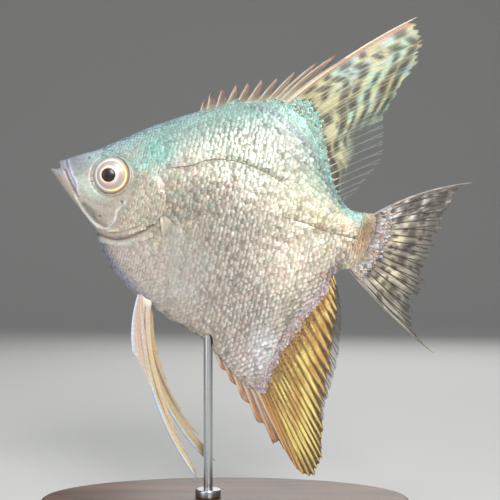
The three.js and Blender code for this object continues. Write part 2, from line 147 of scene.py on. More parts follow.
def points_of(piece):
    return vectors_of(piece, "co")


def normals_of(piece):
    return vectors_of(piece, "normal")


def faces_of(piece):
    """The point numbers of each face of a mesh, where all have as many corners."""
    corners = np.empty(len(piece.data.loops), np.int32)
    piece.data.loops.foreach_get("vertex_index", corners)
    return corners.reshape(len(piece.data.polygons), -1)


def set_points(piece, points):
    piece.data.vertices.foreach_set("co", np.asarray(points, np.float32).ravel())
    piece.data.update()


def mesh_piece(name, points, faces):
    """A piece from points and equal-sized faces, both as arrays."""
    mesh = bpy.data.meshes.new(name)
    faces = np.asarray(faces, np.int32)
    starts = np.arange(0, faces.size, faces.shape[1], dtype=np.int32)
    mesh.vertices.add(len(points))
    mesh.vertices.foreach_set("co", np.asarray(points, np.float32).ravel())
    mesh.loops.add(faces.size)
    mesh.loops.foreach_set("vertex_index", faces.ravel())
    mesh.polygons.add(len(faces))
    mesh.polygons.foreach_set("loop_start", starts)
    mesh.polygons.foreach_set("use_smooth", np.ones(len(faces), bool))
    mesh.update(calc_edges=True)
    piece = bpy.data.objects.new(name, mesh)
    bpy.context.scene.collection.objects.link(piece)
    return piece


def paint(piece, colours):
    """Stores a colour for each point of a piece, with an alpha of 1 if it has none."""
    if colours.shape[1] == 3:
        colours = np.column_stack([colours, np.ones(len(colours))])
    layer = piece.data.color_attributes.new(MARKING, "FLOAT_COLOR", "POINT")
    layer.data.foreach_set("color", colours.astype(np.float32).ravel())


def dress(piece, finish, slot, *nodes):
    """Gives a piece its material, puts it on the fish and hides the solids it stands for."""
    piece.data.materials.clear()
    piece.data.materials.append(finish)
    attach(piece, "root")
    if nodes:
        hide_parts(*nodes)


# ------------------------------------------------------------------ curves


def ease(low, high, value):
    """A smooth step from 0 at low to 1 at high."""
    t = np.clip((np.asarray(value, float) - low) / (high - low), 0, 1)
    return t * t * (3 - 2 * t)


def bell(value, middle, width, power=2):
    """A soft peak: 1 at the middle, and nearly nothing two widths away."""
    return np.exp(-(((value - middle) / width) ** power))


def on_spline(points, shares):
    """Points at shares, from 0 to 1, of a smooth curve through the given ones."""
    points = np.asarray(points, float)
    last = len(points) - 1
    place = np.clip(np.asarray(shares, float), 0, 1) * last
    i = np.minimum(place.astype(int), last - 1)
    w = (place - i)[..., None]
    p0, p1 = points[np.maximum(i - 1, 0)], points[i]
    p2, p3 = points[i + 1], points[np.minimum(i + 2, last)]
    v0, v1 = (p2 - p0) / 2, (p3 - p1) / 2
    return (
        (2 * p1 - 2 * p2 + v0 + v1) * w**3
        + (3 * p2 - 3 * p1 - 2 * v0 - v1) * w**2
        + v0 * w
        + p1
    )


def spline(points, count):
    """Points evenly spread along a smooth curve through the given ones."""
    return on_spline(points, np.linspace(0, 1, count))


def distance_to(line, points):
    """Distance in the side view to a line, and the share of the line passed at that place."""
    line = np.asarray(line, float)
    lengths = np.linalg.norm(np.diff(line, axis=0), axis=1)
    starts = np.concatenate([[0], np.cumsum(lengths)])
    best = np.full(len(points), 1e9)
    share = np.zeros(len(points))
    for a, b, length, start in zip(line[:-1], line[1:], lengths, starts):
        t = np.clip(((points - a) @ (b - a)) / length**2, 0, 1)
        d = np.linalg.norm(points - (a + t[:, None] * (b - a)), axis=1)
        near = d < best
        best[near] = d[near]
        share[near] = (start + t[near] * length) / starts[-1]
    return best, share


def inside(outline, points):
    """Whether side-view points lie inside a closed outline."""
    outline = np.asarray(outline, float)
    x, z = points[:, 0], points[:, 1]
    odd = np.zeros(len(points), bool)
    for (ax, az), (bx, bz) in zip(outline, np.roll(outline, -1, axis=0)):
        if az == bz:
            continue
        crosses = (az > z) != (bz > z)
        odd ^= crosses & (x < ax + (z - az) / (bz - az) * (bx - ax))
    return odd


def side_view(points):
    return points[:, [0, 2]]


def beside(line, points, count=40, start=0.08, end=0.92):
    """Distance in the side view to a smooth line, and a fade to 0 towards both its ends."""
    distance, share = distance_to(spline(line, count), points)
    return distance, ease(0, start, share) * ease(1, end, share)


# ------------------------------------------------------------------ colours


def linear(code):
    """A hex colour as linear red, green and blue."""
    parts = np.array([int(code[i : i + 2], 16) for i in (1, 3, 5)]) / 255
    return np.where(parts < 0.04045, parts / 12.92, ((parts + 0.055) / 1.055) ** 2.4)


def palette(codes):
    return np.array([linear(code) for code in codes])


def tiled(code, points):
    """One colour for as many points."""
    return np.tile(linear(code), (len(points), 1))


def tint(colours, code, amount):
    """Mixes a hex colour into an array of colours by an amount for each."""
    amount = np.clip(np.broadcast_to(amount, len(colours)), 0, 1)[:, None]
    return colours * (1 - amount) + linear(code) * amount


def layered(colours, *layers):
    """Mixes in one hex colour after another, each by its amount."""
    for code, amount in layers:
        colours = tint(colours, code, amount)
    return colours


def clear(colours, alpha):
    """Adds an alpha to colours, shared between a sheet's two faces."""
    alpha = np.clip(np.broadcast_to(alpha, (len(colours),)), 0, 1)
    return np.column_stack([np.clip(colours, 0, 1), 1 - np.sqrt(1 - 0.999 * alpha)])


def hashed(*keys):
    """A steady pseudo-random number from 0 to 1 for whole-number keys."""
    weights = (12.9898, 78.233, 37.719)
    total = sum(np.asarray(key, float) * weight for key, weight in zip(keys, weights))
    return np.modf(np.abs(np.sin(total) * 43758.5453))[0]


def blotches(points, scale, seed):
    """Soft uneven patches from 0 to 1, from a few crossing waves."""
    x, z = points[:, 0] / scale, points[:, 2] / scale
    total = np.sin(1.7 * x + 0.9 * z + seed) + np.sin(-1.1 * x + 2.1 * z + 2.3 * seed)
    total = total + np.sin(2.9 * x - 1.7 * z + 3.1 * seed) * 0.7
    return np.clip(0.5 + total / 4.2, 0, 1)


# ------------------------------------------------------------------ camera, light and floor

CAMERA_PLACE = (0.00625, -0.3, 0.06975)
CAMERA_LENS = 86.4
STUDIO_LIGHTS = [
    # name, place, size, power, colour
    ("key_light", (0.14, -0.5, 0.33), 0.2, 3.5, (1, 0.985, 0.96)),
    ("top_light", (0.0, -0.1, 0.55), 0.5, 1.6, (0.95, 0.98, 1)),
    ("fill_light", (-0.5, -0.5, 0.2), 0.5, 1.6, (0.96, 0.98, 1)),
    ("back_light", (0.1, 0.5, 0.35), 0.4, 1.4, (1, 1, 1)),
]
LIGHTS_AIM = Vector((0, 0, 0.08))


def set_camera():
    """A level view of the left flank that takes in the fish and the top of the base."""
    bpy.ops.object.camera_add(location=CAMERA_PLACE, rotation=(math.pi / 2, 0, 0))
    camera = bpy.context.object
    camera.data.lens = CAMERA_LENS
    camera.data.clip_start = 0.01
    bpy.context.scene.camera = camera


def light_studio():
    """Four soft square lights that face the fish, in a dim grey room."""
    for name, place, size, power, colour in STUDIO_LIGHTS:
        bpy.ops.object.light_add(type="AREA", location=place)
        light = bpy.context.object
        light.name = name
        light.rotation_euler = (LIGHTS_AIM - Vector(place)).to_track_quat("-Z", "Y").to_euler()
        light.data.size = size
        light.data.energy = power
        light.data.color = colour
    world = bpy.data.worlds.new("studio")
    world.use_nodes = True
    room = world.node_tree.nodes["Background"]
    room.inputs["Color"].default_value = (0.74, 0.76, 0.78, 1)
    room.inputs["Strength"].default_value = 0.3
    bpy.context.scene.world = world
    bpy.context.scene.view_settings.view_transform = "Standard"


def sweep_backdrop():
    """A pale floor that curves up behind the stand."""
    floor = started("floor", bpy.ops.mesh.primitive_plane_add, size=8, location=(0, -2.5, 0))
    bpy.ops.object.transform_apply(location=True)
    depth = points_of(floor)[:, 1]
    pick(floor, "EDGE", [min(depth[list(edge.vertices)]) > 1 for edge in floor.data.edges])
    with editing(floor):
        bpy.ops.mesh.extrude_region_move(TRANSFORM_OT_translate={"value": (0, 0, 2)})
    finish_modifier(floor, "BEVEL", width=0.7, segments=12, limit_method="ANGLE")
    bpy.ops.object.shade_smooth()
    paper = Finish("studio_paper", Base_Color=(*linear("#BEBEBB"), 1), Roughness=0.9)
    floor.data.materials.append(paper.material)


# ------------------------------------------------------------------ the head's folds

# Each line is drawn in the side view. A ridge stands off the skin by its height, over a band
# of its width, and a groove has a height below nothing. The colour runs along the line: on a
# ridge a pale colour, partly its own tone and partly painted highlight, and in a groove a dark
# colour, painted shade in the crease.

PREOPERCLE = [
    (7.3, -9.1), (9.9, -11.9), (12.4, -13.3), (15, -14), (16.6, -13.2), (17.4, -11.5),
    (17.4, -9.3), (18.7, -7.5), (19.8, -5.6),
]
GILL_SLIT = [
    (9.5, -12.9), (12, -14.9), (14.4, -15.8), (17.2, -16.1), (20, -15.7), (22.8, -14.2),
    (25.5, -11.9), (27.5, -9.5), (28.8, -7.3), (29, -5), (28, -2.8), (26.4, -1),
]
BLUE_EDGE = [(2, 1.2), (2.9, -0.3), (4.3, -2.5), (5.7, -4.2), (6.4, -5.5), (6.4, -6.8)]
JAW_EDGE = [(5.6, -6.8), (6.7, -8.4), (8.9, -10.8), (11.7, -12.9), (14, -14.6)]
LIP_CLEFT = [(1.9, -1.6), (3.1, -3.3), (4.6, -5.2), (5.9, -6.9), (7, -8.3)]
JAW_HOLLOW = [(8.1, -9.2), (9.4, -9.8), (11.1, -10.9), (12.4, -12.2)]
CHEEK_FOLD = [(7, -6.6), (9.4, -7.8), (12, -8.6), (15, -8.7), (17, -8)]
SUBOPERCLE = [(15.5, -14.6), (18.6, -13.8), (21.2, -12.3), (24, -10.3), (26.4, -7.9)]
BRANCHIALS = [(12.9, -16.3), (16.2, -17.4), (20.2, -17), (24.2, -15), (27.2, -12.4)]
NAPE_GROOVE = [(8.6, 2.9), (10.2, 4), (12.2, 5), (14.6, 5.4)]

HEAD_LINES = [
    # line, width, height, colour, strength of the colour
    (PREOPERCLE, 0.32, 0.12, "#E6E2E4", 0.8),
    (np.add(PREOPERCLE, (0.65, 0.45)), 0.4, -0.16, "#8E8177", 0.5),
    (BLUE_EDGE, 0.36, 0.14, "#C9D3F2", 0.85),
    (np.add(BLUE_EDGE, (-0.55, -0.3)), 0.38, -0.22, "#7C7FA8", 0.6),
    (LIP_CLEFT, 0.36, -0.36, "#6F6468", 0.75),
    (np.add(LIP_CLEFT, (0.62, 0.42)), 0.4, 0.16, "#CFC6C6", 0.5),
    (JAW_EDGE, 0.34, 0.13, "#EFE9E2", 0.75),
    (JAW_HOLLOW, 0.62, -0.2, "#858B82", 0.75),
    (CHEEK_FOLD, 0.7, -0.08, "#A99C93", 0.35),
    (SUBOPERCLE, 0.34, 0.1, "#E9E3BF", 0.6),
    (np.add(SUBOPERCLE, (0.4, -0.45)), 0.35, -0.12, "#958677", 0.45),
    (BRANCHIALS, 0.6, 0.12, "#D6DADB", 0.45),
    (NAPE_GROOVE, 0.4, -0.08, "#8A9397", 0.3),
    ([(26.7, -2), (27.4, -3.1), (28.3, -4.6)], 0.3, 0.04, "#F5E6D6", 0.8),
    ([(27.3, -1.9), (28, -3), (28.9, -4.5)], 0.3, 0, "#D9905E", 0.7),
]

PORES = [
    # place, radius
    ((21.6, 11.5), 0.32), ((21.7, 7.8), 0.34), ((18.1, -6.7), 0.3), ((13.4, -11.3), 0.3),
    ((12.5, 5.2), 0.26), ((7.4, 2.3), 0.36), ((9.6, -3.4), 0.22), ((24.9, 2.1), 0.26),
]

UPPER_LATERAL = [
    (28.3, 4.2), (32.6, 5.7), (37.4, 8.3), (44.2, 9.2), (50.9, 8.1), (56.6, 6.1),
]
PECTORAL_ROOT = [(28.4, -8), (29, -9.6), (29.6, -11.2), (29.9, -12.8)]
REAR_LATERAL = [(56.8, -1.6), (63.3, -1.9), (69.4, -2.9), (73, -2.8), (76.4, -3)]

EYE = Vector((14.2, 0, -0.9))  # the middle of the eye's rim
EYE_RADIUS = 4.3


LATERAL_LINE = (UPPER_LATERAL, REAR_LATERAL)
LATERAL_WIDTH = 0.35
HEAD_END = 34  # the head's lines all lie before this
SLIT_WIDTH = 0.42


def from_lateral_line(points):
    """Distance in the side view to the nearer half of the lateral line."""
    return np.minimum(*(distance_to(spline(line, 30), points)[0] for line in LATERAL_LINE))


def from_eye(points):
    return np.linalg.norm(points - (EYE.x, EYE.z), axis=1)


# ------------------------------------------------------------------ skin

FLESH = [
    "head", "upper_jaw", "lower_jaw", "trunk", "tail_stem", "gill_cover_left",
    "gill_cover_right",
]
RELAX_STEPS = 10


def flesh_copy():
    """The solids of flesh as one mesh, in the fish's frame."""
    copies = []
    for name in FLESH:
        copy = bpy.data.objects.new("skin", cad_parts[name].data.copy())
        bpy.context.scene.collection.objects.link(copy)
        copies.append(copy)
    only(*copies)
    bpy.ops.object.join()
    skin = bpy.context.object
    skin.name = "skin"
    skin.data.transform(FISH.inverted())
    with editing(skin, "SELECT"):
        bpy.ops.mesh.remove_doubles(threshold=0.002)
    return skin


def relax(skin, rounds, factor, weights):
    """Smooths the skin, by a weight for each point."""
    group = skin.vertex_groups.new(name="relax")
    for step in range(1, RELAX_STEPS + 1):
        near = np.flatnonzero(np.rint(weights * RELAX_STEPS) == step)
        group.add([int(i) for i in near], step / RELAX_STEPS, "REPLACE")
    finish_modifier(skin, "SMOOTH", factor=factor, iterations=rounds, vertex_group="relax")
    skin.vertex_groups.clear()


def refine_head(skin):
    """Divides the faces of the head, where the fine folds are."""
    x, z = side_view(points_of(skin)).T
    on_head = (x < 21.5) & (z > -18) & (z < 9)
    pick(skin, "FACE", on_head[faces_of(skin)].all(axis=1))
    with editing(skin):
        bpy.ops.mesh.subdivide(number_cuts=1, smoothness=0)


def carve_head(skin):
    """Raises the ridges of the head, cuts its grooves and pores, and rims the eyes."""
    points, normals = points_of(skin), normals_of(skin)
    lift = np.zeros(len(points))
    near = points[:, 0] < HEAD_END
    flat = side_view(points[near])
    for line, width, height, _, _ in HEAD_LINES:
        d, fade = beside(line, flat)
        lift[near] += height * fade * bell(d, 0, width)
    d, fade = beside(GILL_SLIT, flat, 60, 0.06, 0.9)
    lift[near] -= 0.3 * fade * bell(d, 0, SLIT_WIDTH)
    cover = inside(np.vstack([spline(GILL_SLIT, 60), [(18, 0), (10, -8)]]), flat)
    lift[near] += np.where(cover, 0.26 * fade * np.exp(-d / 1.6), 0)
    for place, radius in PORES:
        d = np.linalg.norm(flat - place, axis=1)
        lift[near] -= 0.28 * bell(d, 0, radius) - 0.05 * bell(d, 0.5, 0.2)
    d = from_eye(flat) - EYE_RADIUS
    lift[near] += 0.22 * bell(d, 0.45, 0.3)
    lift[near] -= 0.14 * bell(d, 1.1, 0.3)
    lift -= 0.14 * bell(from_lateral_line(side_view(points)), 0, LATERAL_WIDTH)
    set_points(skin, points + normals * lift[:, None])


def grow_skin():
    """One closed skin over head, jaws, gill covers, trunk and tail stem."""
    skin = flesh_copy()
    finish_modifier(skin, "DISPLACE", strength=GROWTH, mid_level=0)
    finish_modifier(skin, "REMESH", mode="VOXEL", voxel_size=VOXEL, use_smooth_shade=True)
    points = points_of(skin)
    trunk = ease(8, 16, points[:, 0])
    weights = ease(0.7, 2.6, np.abs(points[:, 1])) * (0.35 + 0.65 * trunk) + 0.08
    relax(skin, 26, 0.5, np.minimum(weights, 1))
    points = points_of(skin)
    points[:, 1] *= 1 - 0.62 * ease(75, 82.5, points[:, 0])  # the tail stem's thin end
    set_points(skin, points)
    points, normals = points_of(skin), normals_of(skin)
    bare = ease(13, 6, points[:, 0])
    depth = GROWTH + COAT_DEPTH + (BARE_DEPTH - COAT_DEPTH) * bare
    set_points(skin, points - normals * depth[:, None])
    refine_head(skin)
    carve_head(skin)
    return skin


# ------------------------------------------------------------------ markings


class Outline:
    """The heights of the skin's back and belly, and its breadth, along the fish."""

    def __init__(self, skin):
        points = points_of(skin)
        self.stations = np.arange(points[:, 0].min() + 0.4, points[:, 0].max() - 0.2, 0.5)
        near = [np.abs(points[:, 0] - x) < 0.45 for x in self.stations]
        self.tops = np.array([points[chosen, 2].max() for chosen in near])
        self.bottoms = np.array([points[chosen, 2].min() for chosen in near])

    def back(self, x):
        return np.interp(x, self.stations, self.tops)

    def belly(self, x):
        return np.interp(x, self.stations, self.bottoms)


PATCHES = [
    # middle, half-sizes, turn in degrees, colour, strength: soft ellipses in the side view. The
    # pale cream ones over the middle and rear of the flank are partly the flank's own tone and
    # partly painted highlight.
    ((4, 0.6), (5.5, 4), 0, "#85838C", 0.9),
    ((13, 6.8), (9, 3.4), 36, "#A6C4C4", 0.75),
    ((9.6, -5.8), (4.6, 3), -30, "#C6D3C6", 0.75),
    ((12.5, -10.4), (4.5, 2.6), -20, "#C2B2A8", 0.6),
    ((23.2, 7.4), (4.4, 4.2), 30, "#6EC3BE", 0.8),
    ((20.6, 3), (4, 1.6), -20, "#7FD3D2", 0.55),
    ((23, -6), (5, 5), 0, "#C3B6A2", 0.55),
    ((21.6, -11.4), (5.4, 2.2), 28, "#CBBBA2", 0.5),
    ((46, 8.6), (16, 6), -3, "#C6CEB8", 0.85),
    ((49, 1), (12, 4.5), -10, "#DDD3BF", 0.75),
    ((61, 4), (8, 9), 0, "#DCD4B6", 0.9),
    ((66, 8), (5, 5), -40, "#AEC3AC", 0.7),
    ((71, -1.5), (9, 5), -8, "#CDBB94", 0.85),
    ((78, -2.4), (4.4, 6.5), 0, "#B89C74", 0.9),
    ((36, -2.5), (9, 6), 0, "#8E897C", 0.75),
    ((60, 10), (5, 4), -40, "#A9BEA6", 0.6),
    ((80.4, -3), (1.6, 7), 0, "#9F97A3", 0.6),
    ((65, -6), (9, 3.6), -8, "#F4E9D4", 0.85),
    ((60, -13), (9, 7), -30, "#FFF0DC", 0.85),
    ((24, -20.5), (8.5, 8), -30, "#C9BAB2", 0.75),
    ((34, -26), (8, 7), -30, "#C9C2BA", 0.6),
    ((40, -11), (11, 8), 0, "#A39D92", 0.55),
    ((50, -25), (11, 8), -30, "#ADA59F", 0.5),
    ((58.8, -34.8), (4.2, 6), -14, "#E4E2EA", 0.75),
    ((52.5, -36.5), (5, 3), -35, "#C4B6AE", 0.5),
    ((51, 13.4), (8, 4), -6, "#A3AEA2", 0.5),
    ((75.8, 0.4), (3.8, 4.4), 0, "#94794F", 0.7),
    ((71.4, -2.6), (4, 3), 0, "#F4EBD6", 0.6),
]


def markings(points, outline):
    """The colour of skin and scales at points of the fish."""
    x, z = side_view(points).T
    under = outline.back(x) - z
    above = z - outline.belly(x)
    brow = 0.8 * ease(7, 1, under) * ease(2, 9, x) * ease(26, 14, x)
    colours = tint(tiled("#BDB2A4", points), "#8FA9AC", brow)
    for (px, pz), (rx, rz), turn, code, strength in PATCHES:
        a = math.radians(turn)
        dx, dz = x - px, z - pz
        u = (dx * math.cos(a) + dz * math.sin(a)) / rx
        v = (dz * math.cos(a) - dx * math.sin(a)) / rz
        colours = tint(colours, code, strength * np.exp(-((u * u + v * v) ** 1.3)))
    nape = ease(14, 2, under) * ease(14, 24, x) * ease(73, 58, x)
    rim = ease(5, 1, under) * ease(50, 58, x) * ease(79, 74, x)
    sheath, _ = distance_to(SHEATH_LINE, side_view(points))
    # Painted rim light: a bluish band along the lower edge of the breast.
    throat_rim_light = ease(4.2, 0.6, above) * ease(9, 13, x) * ease(34, 24, x)
    vent = ease(9, 1, above) * ease(57, 62, x) * ease(75, 70, x)
    # Painted rim light: a bluish band along the top edge of the head and nape.
    edge = 0.6 * ease(1.8, 0.3, under) * ease(4, 9, x) * ease(36, 28, x)
    crown = ease(1.6, 0, np.abs(points[:, 1])) * ease(12, 3, under) * ease(34, 20, x)
    return layered(
        colours,
        ("#7FA9A0", 0.85 * nape),
        ("#66B4AC", 0.78 * rim),
        # Painted shade: a dark blue-grey line along the root of the dorsal fin.
        ("#5F7479", 0.75 * bell(sheath, 0, 0.8) * ease(38, 46, x)),
        ("#8494BC", 0.7 * throat_rim_light),
        ("#A9AFC6", 0.6 * ease(79.8, 82.5, x)),
        ("#A08CA0", 0.75 * vent),
        ("#93A9C4", edge),
        ("#6F9B98", 0.4 * crown),
    )


def paint_skin(skin, outline):
    """Paints the markings on the skin, with painted shade under the scales, in the gill slit, the
    pores, the eye's socket and the mouth, and the folds' colours.
    """
    points = points_of(skin)
    flat = side_view(points)
    x, z = flat.T
    # Painted shade: the skin is darker, from x 9 to 14 mm on, where the scales lie over it.
    colours = markings(points, outline) * (1 - 0.2 * ease(9, 14, x))[:, None]
    near = x < HEAD_END
    folds = []
    for line, width, _, code, strength in HEAD_LINES:
        d, fade = beside(line, flat[near])
        folds.append((code, strength * fade * bell(d, 0, width)))
    # Painted shade in the gill slit and in the pores' pits.
    d, fade = beside(GILL_SLIT, flat[near], 60, 0.05, 0.9)
    folds.append(("#7A6A5E", 0.6 * fade * bell(d, 0, SLIT_WIDTH)))
    for place, radius in PORES:
        d = np.linalg.norm(flat[near] - place, axis=1)
        folds.append(("#4D4A48", 0.75 * bell(d, 0, radius)))
    # Painted shade round the eye, in its socket.
    socket = ease(EYE_RADIUS + 0.4, EYE_RADIUS - 0.1, from_eye(flat[near]))
    colours[near] = layered(colours[near], *folds, ("#8C8A86", 0.5 * socket))
    colours = layered(
        colours,
        ("#8F8D99", 0.6 * ease(5.5, 2.5, x - 0.6 * z)),
        ("#6B6350", 0.7 * bell(from_lateral_line(flat), 0, LATERAL_WIDTH)),
    )
    # Painted shade in the opening between the lips.
    mouth = (np.abs(points[:, 1]) < 1.4) & (x < 3) & (np.abs(z + 1.6) < 0.5)
    colours[mouth] = linear("#6E5A5C")
    paint(skin, colours)


# ------------------------------------------------------------------ scales

HEAD_EDGE = [
    (20.5, 16), (22.6, 12.4), (24.4, 9), (26, 4.6), (27.4, 0.4), (29, -3), (29.9, -6),
    (29.2, -8.6), (27.4, -11.2), (24.6, -13.8), (21.4, -16),
]
BREAST_EDGE = [(21.4, -16), (25, -19), (28.5, -23), (30.5, -28), (31, -34)]
SHEATH_LINE = [
    (27, 21), (36, 22.4), (46.4, 23.6), (50, 22.9), (54.4, 20.1), (58.2, 17.1), (61.5, 13.8),
    (64.9, 9.9), (68, 6.2), (71.5, 4.5),
]
ANAL_SHEATH_LINE = [
    (43.7, -37), (49, -38.8), (54.5, -41), (59.2, -41.4), (61.8, -32.4), (65.1, -25.6),
    (68.4, -18.8), (71.1, -13.6), (73.2, -11),
]
COVER_FIELD = [
    (18.9, -3.6), (21.8, -1), (24.6, -0.4), (26.6, -2.4), (28.2, -5), (28, -7.2), (26.6, -9.6),
    (24, -12), (21, -13.9), (18.4, -13.6), (18.2, -11), (19, -8.4), (20.6, -5.6),
]

HEAD_REGION = np.array(HEAD_EDGE + BREAST_EDGE[1:] + [(-5, -34), (-5, 16)])
ABOVE_SHEATH = np.array(SHEATH_LINE + [(80, 4), (80, 40), (20, 40)])
BELOW_SHEATH = np.array(ANAL_SHEATH_LINE + [(78, -11), (78, -60), (40, -60)])

MINT = ("#A9B8A4", "#74A299", "#56605A", "#8C8C73", "#6FA79D")
MAUVE = ("#A997A6", "#CFC9D6", "#86736F", "#B99C80")
SILVER = ("#C3C5D0", "#8F8E96", "#5A4F47", "#AC9470", "#8C7760")
FLECKS = ("#BFBFA0", "#8F8069", "#A9C2AC", "#CDBB93", "#77705F")

BAKE_PATCH = 0.003  # the width of one scale in the coats' UV map
FAR_ASIDE = 20  # from where rays are cast at the skin


def scale_shape():
    """One scale: a thin lens 1 long and 2 half-widths broad, crested near its rear edge."""
    grid = bpy.ops.mesh.primitive_grid_add
    scale = started("scale", grid, x_subdivisions=6, y_subdivisions=4, size=1)
    points = points_of(scale)
    w = points[:, 1] * 2
    s = np.interp(points[:, 0] + 0.5, np.linspace(0, 1, 7), (0, 0.25, 0.45, 0.58, 0.7, 0.84, 1))
    breadth = (1 - np.abs((s - 0.48) / 0.72) ** 4) ** 0.5
    reach = s - 0.16 * (w**2) * ease(0.3, 1, s)
    height = np.interp(s, (0, 0.44, 0.66, 0.84, 1), (0.2, 0.75, 1, 0.8, 0.3)) * (1 - 0.16 * w**2)
    set_points(scale, np.column_stack([reach, w * breadth, height]))
    with editing(scale, "DESELECT", "EDGE"):
        bpy.ops.mesh.select_non_manifold()
        bpy.ops.mesh.edge_face_add()
        bpy.ops.mesh.select_all(action="SELECT")
        bpy.ops.mesh.quads_convert_to_tris()
    face_outwards(scale)
    return scale


def tree_of(skin):
    """A search tree for rays cast at the skin."""
    faces = [tuple(face.vertices) for face in skin.data.polygons]
    return BVHTree.FromPolygons([Vector(point) for point in points_of(skin)], faces)


def cast(tree, side, x, z):
    """The place on one side of the skin at a point of the side view, and its normal."""
    place, normal, _, _ = tree.ray_cast(Vector((x, FAR_ASIDE * side, z)), Vector((0, -side, 0)))
    return place, normal


class Coat:
    """Roots of scales on one side of the fish, gathered region by region.

    Each region holds, for all its scales: the roots, the skin's normals there, the lengths,
    breadths and reliefs, the shares of the way down the flank, the ways they run, a colour of
    their own with its strength, and the numbers of their rows.
    """

    def __init__(self, side, tree, outline):
        self.side, self.tree, self.outline = side, tree, outline
        self.regions = []

    def cross_section(self, x, count=150):
        """Points and normals down one side of the skin at a station."""
        top, bottom = self.outline.back(x), self.outline.belly(x)
        turn = np.linspace(0.03, math.pi - 0.03, count)
        found = []
        for z in (top + bottom) / 2 + (top - bottom) / 2 * np.cos(turn):
            place, normal = cast(self.tree, self.side, x, z)
            if place is not None and place.y * self.side > 0:
                found.append((*place, *normal))
        return np.array(found)

    def lay(self, start, end, pitch, row, chosen, size, relief):
        """Lays staggered scales over the part of the flank that `chosen` picks."""
        x, stagger = start, 0.0
        while x < end:
            section = self.cross_section(x)
            if len(section) > 4:
                self.lay_column(section, stagger, pitch, row, chosen, size, relief)
            x += pitch
            stagger = 0.5 - stagger

    def lay_column(self, section, stagger, pitch, row, chosen, size, relief):
        """Lays one column of scales down a cross-section."""
        steps = np.linalg.norm(np.diff(section[:, 1:3], axis=0), axis=1)
        girth = np.concatenate([[0], np.cumsum(steps)])
        zero = np.interp(3, -section[:, 2], girth)
        ranks = np.arange(math.ceil(-zero / row), int((girth[-1] - zero) / row) + 1) + stagger
        places = zero + (ranks + rng.normal(0, 0.07, len(ranks))) * row
        places = places[(places > 0.4) & (places < girth[-1] - 0.3)]
        if not len(places):
            return
        picked = np.column_stack([np.interp(places, girth, field) for field in section.T])
        picked[:, 0] += rng.normal(0, 0.12 * pitch, len(picked))
        keep = chosen(side_view(picked))
        picked, places = picked[keep], places[keep]
        turn = lie_of(picked)
        self.regions.append((
            picked[:, :3],
            picked[:, 3:],
            np.column_stack([np.tile(size, (len(places), 1)), relief(side_view(picked))]),
            places / girth[-1],
            np.column_stack([np.cos(turn), 0 * turn, np.sin(turn)]),
            np.zeros((len(places), 4)),
            np.floor((places - zero) / row + 0.25),
        ))

    def sheathe(self, fin, start, end, first, last, length, breadth, shades, taper=0.0):
        """Scatters scales over the root of a fin, fewer further out, in a few shades."""
        share, column = start, 0
        shades = palette(shades)
        while share < end:
            low, high = fin.at(np.array([share, share]), np.array([0.0, 1.0]))
            reach = np.linalg.norm(high - low)
            far = last * (1 - taper * ease(0.25, 0.85, share))
            places = np.arange(first + 0.3 * length * (column % 2), far, 0.6 * length)
            thinned = 0.9 * ease(0.5 * far, far, places) ** 1.2
            places = places[rng.random(len(places)) > thinned]
            count = len(places)
            roots = fin.at(np.full(count, share), places / reach)
            roots[:, 1] += self.side * (0.12 + 0.6 * bell(places.clip(0), 0, 1.4))
            top, bottom = self.outline.back(roots[:, 0]), self.outline.belly(roots[:, 0])
            shade = shades[rng.integers(0, len(shades), count)]
            self.regions.append((
                roots,
                np.tile((0.0, self.side, 0.0), (count, 1)),
                np.tile((length, breadth, 0.35), (count, 1)),
                np.clip((top - roots[:, 2]) / (top - bottom), 0, 1),
                np.tile((high - low) / reach, (count, 1)),
                np.column_stack([shade, rng.uniform(0.55, 1, count)]),
                np.zeros(count),
            ))
            nearby = fin.at(np.array([share + 0.01]), np.array([0.0]))[0] - low
            share += 0.0062 * breadth / max(np.linalg.norm(nearby), 0.02)
            column += 1

    def gathered(self):
        return [np.concatenate(field) for field in zip(*self.regions)]


def lie_of(roots):
    """The turn of a scale from the fish's length, in radians: scales run out along the fins."""
    x, z = roots[:, 0], roots[:, 2]
    up, _ = distance_to(SHEATH_LINE, side_view(roots))
    down, _ = distance_to(ANAL_SHEATH_LINE, side_view(roots))
    turn = 0.42 * bell(up, 0, 3.5) * ease(44, 56, x) * ease(74, 66, x)
    turn -= 0.85 * bell(down, 0, 5) * ease(40, 54, x) * ease(74, 66, x)
    turn -= 0.5 * ease(-16, -26, z) * ease(52, 30, x)
    return turn


def tipped(ways, others, turn):
    """Directions tipped towards others, each by its angle."""
    return ways * np.cos(turn)[:, None] + others * np.sin(turn)[:, None]


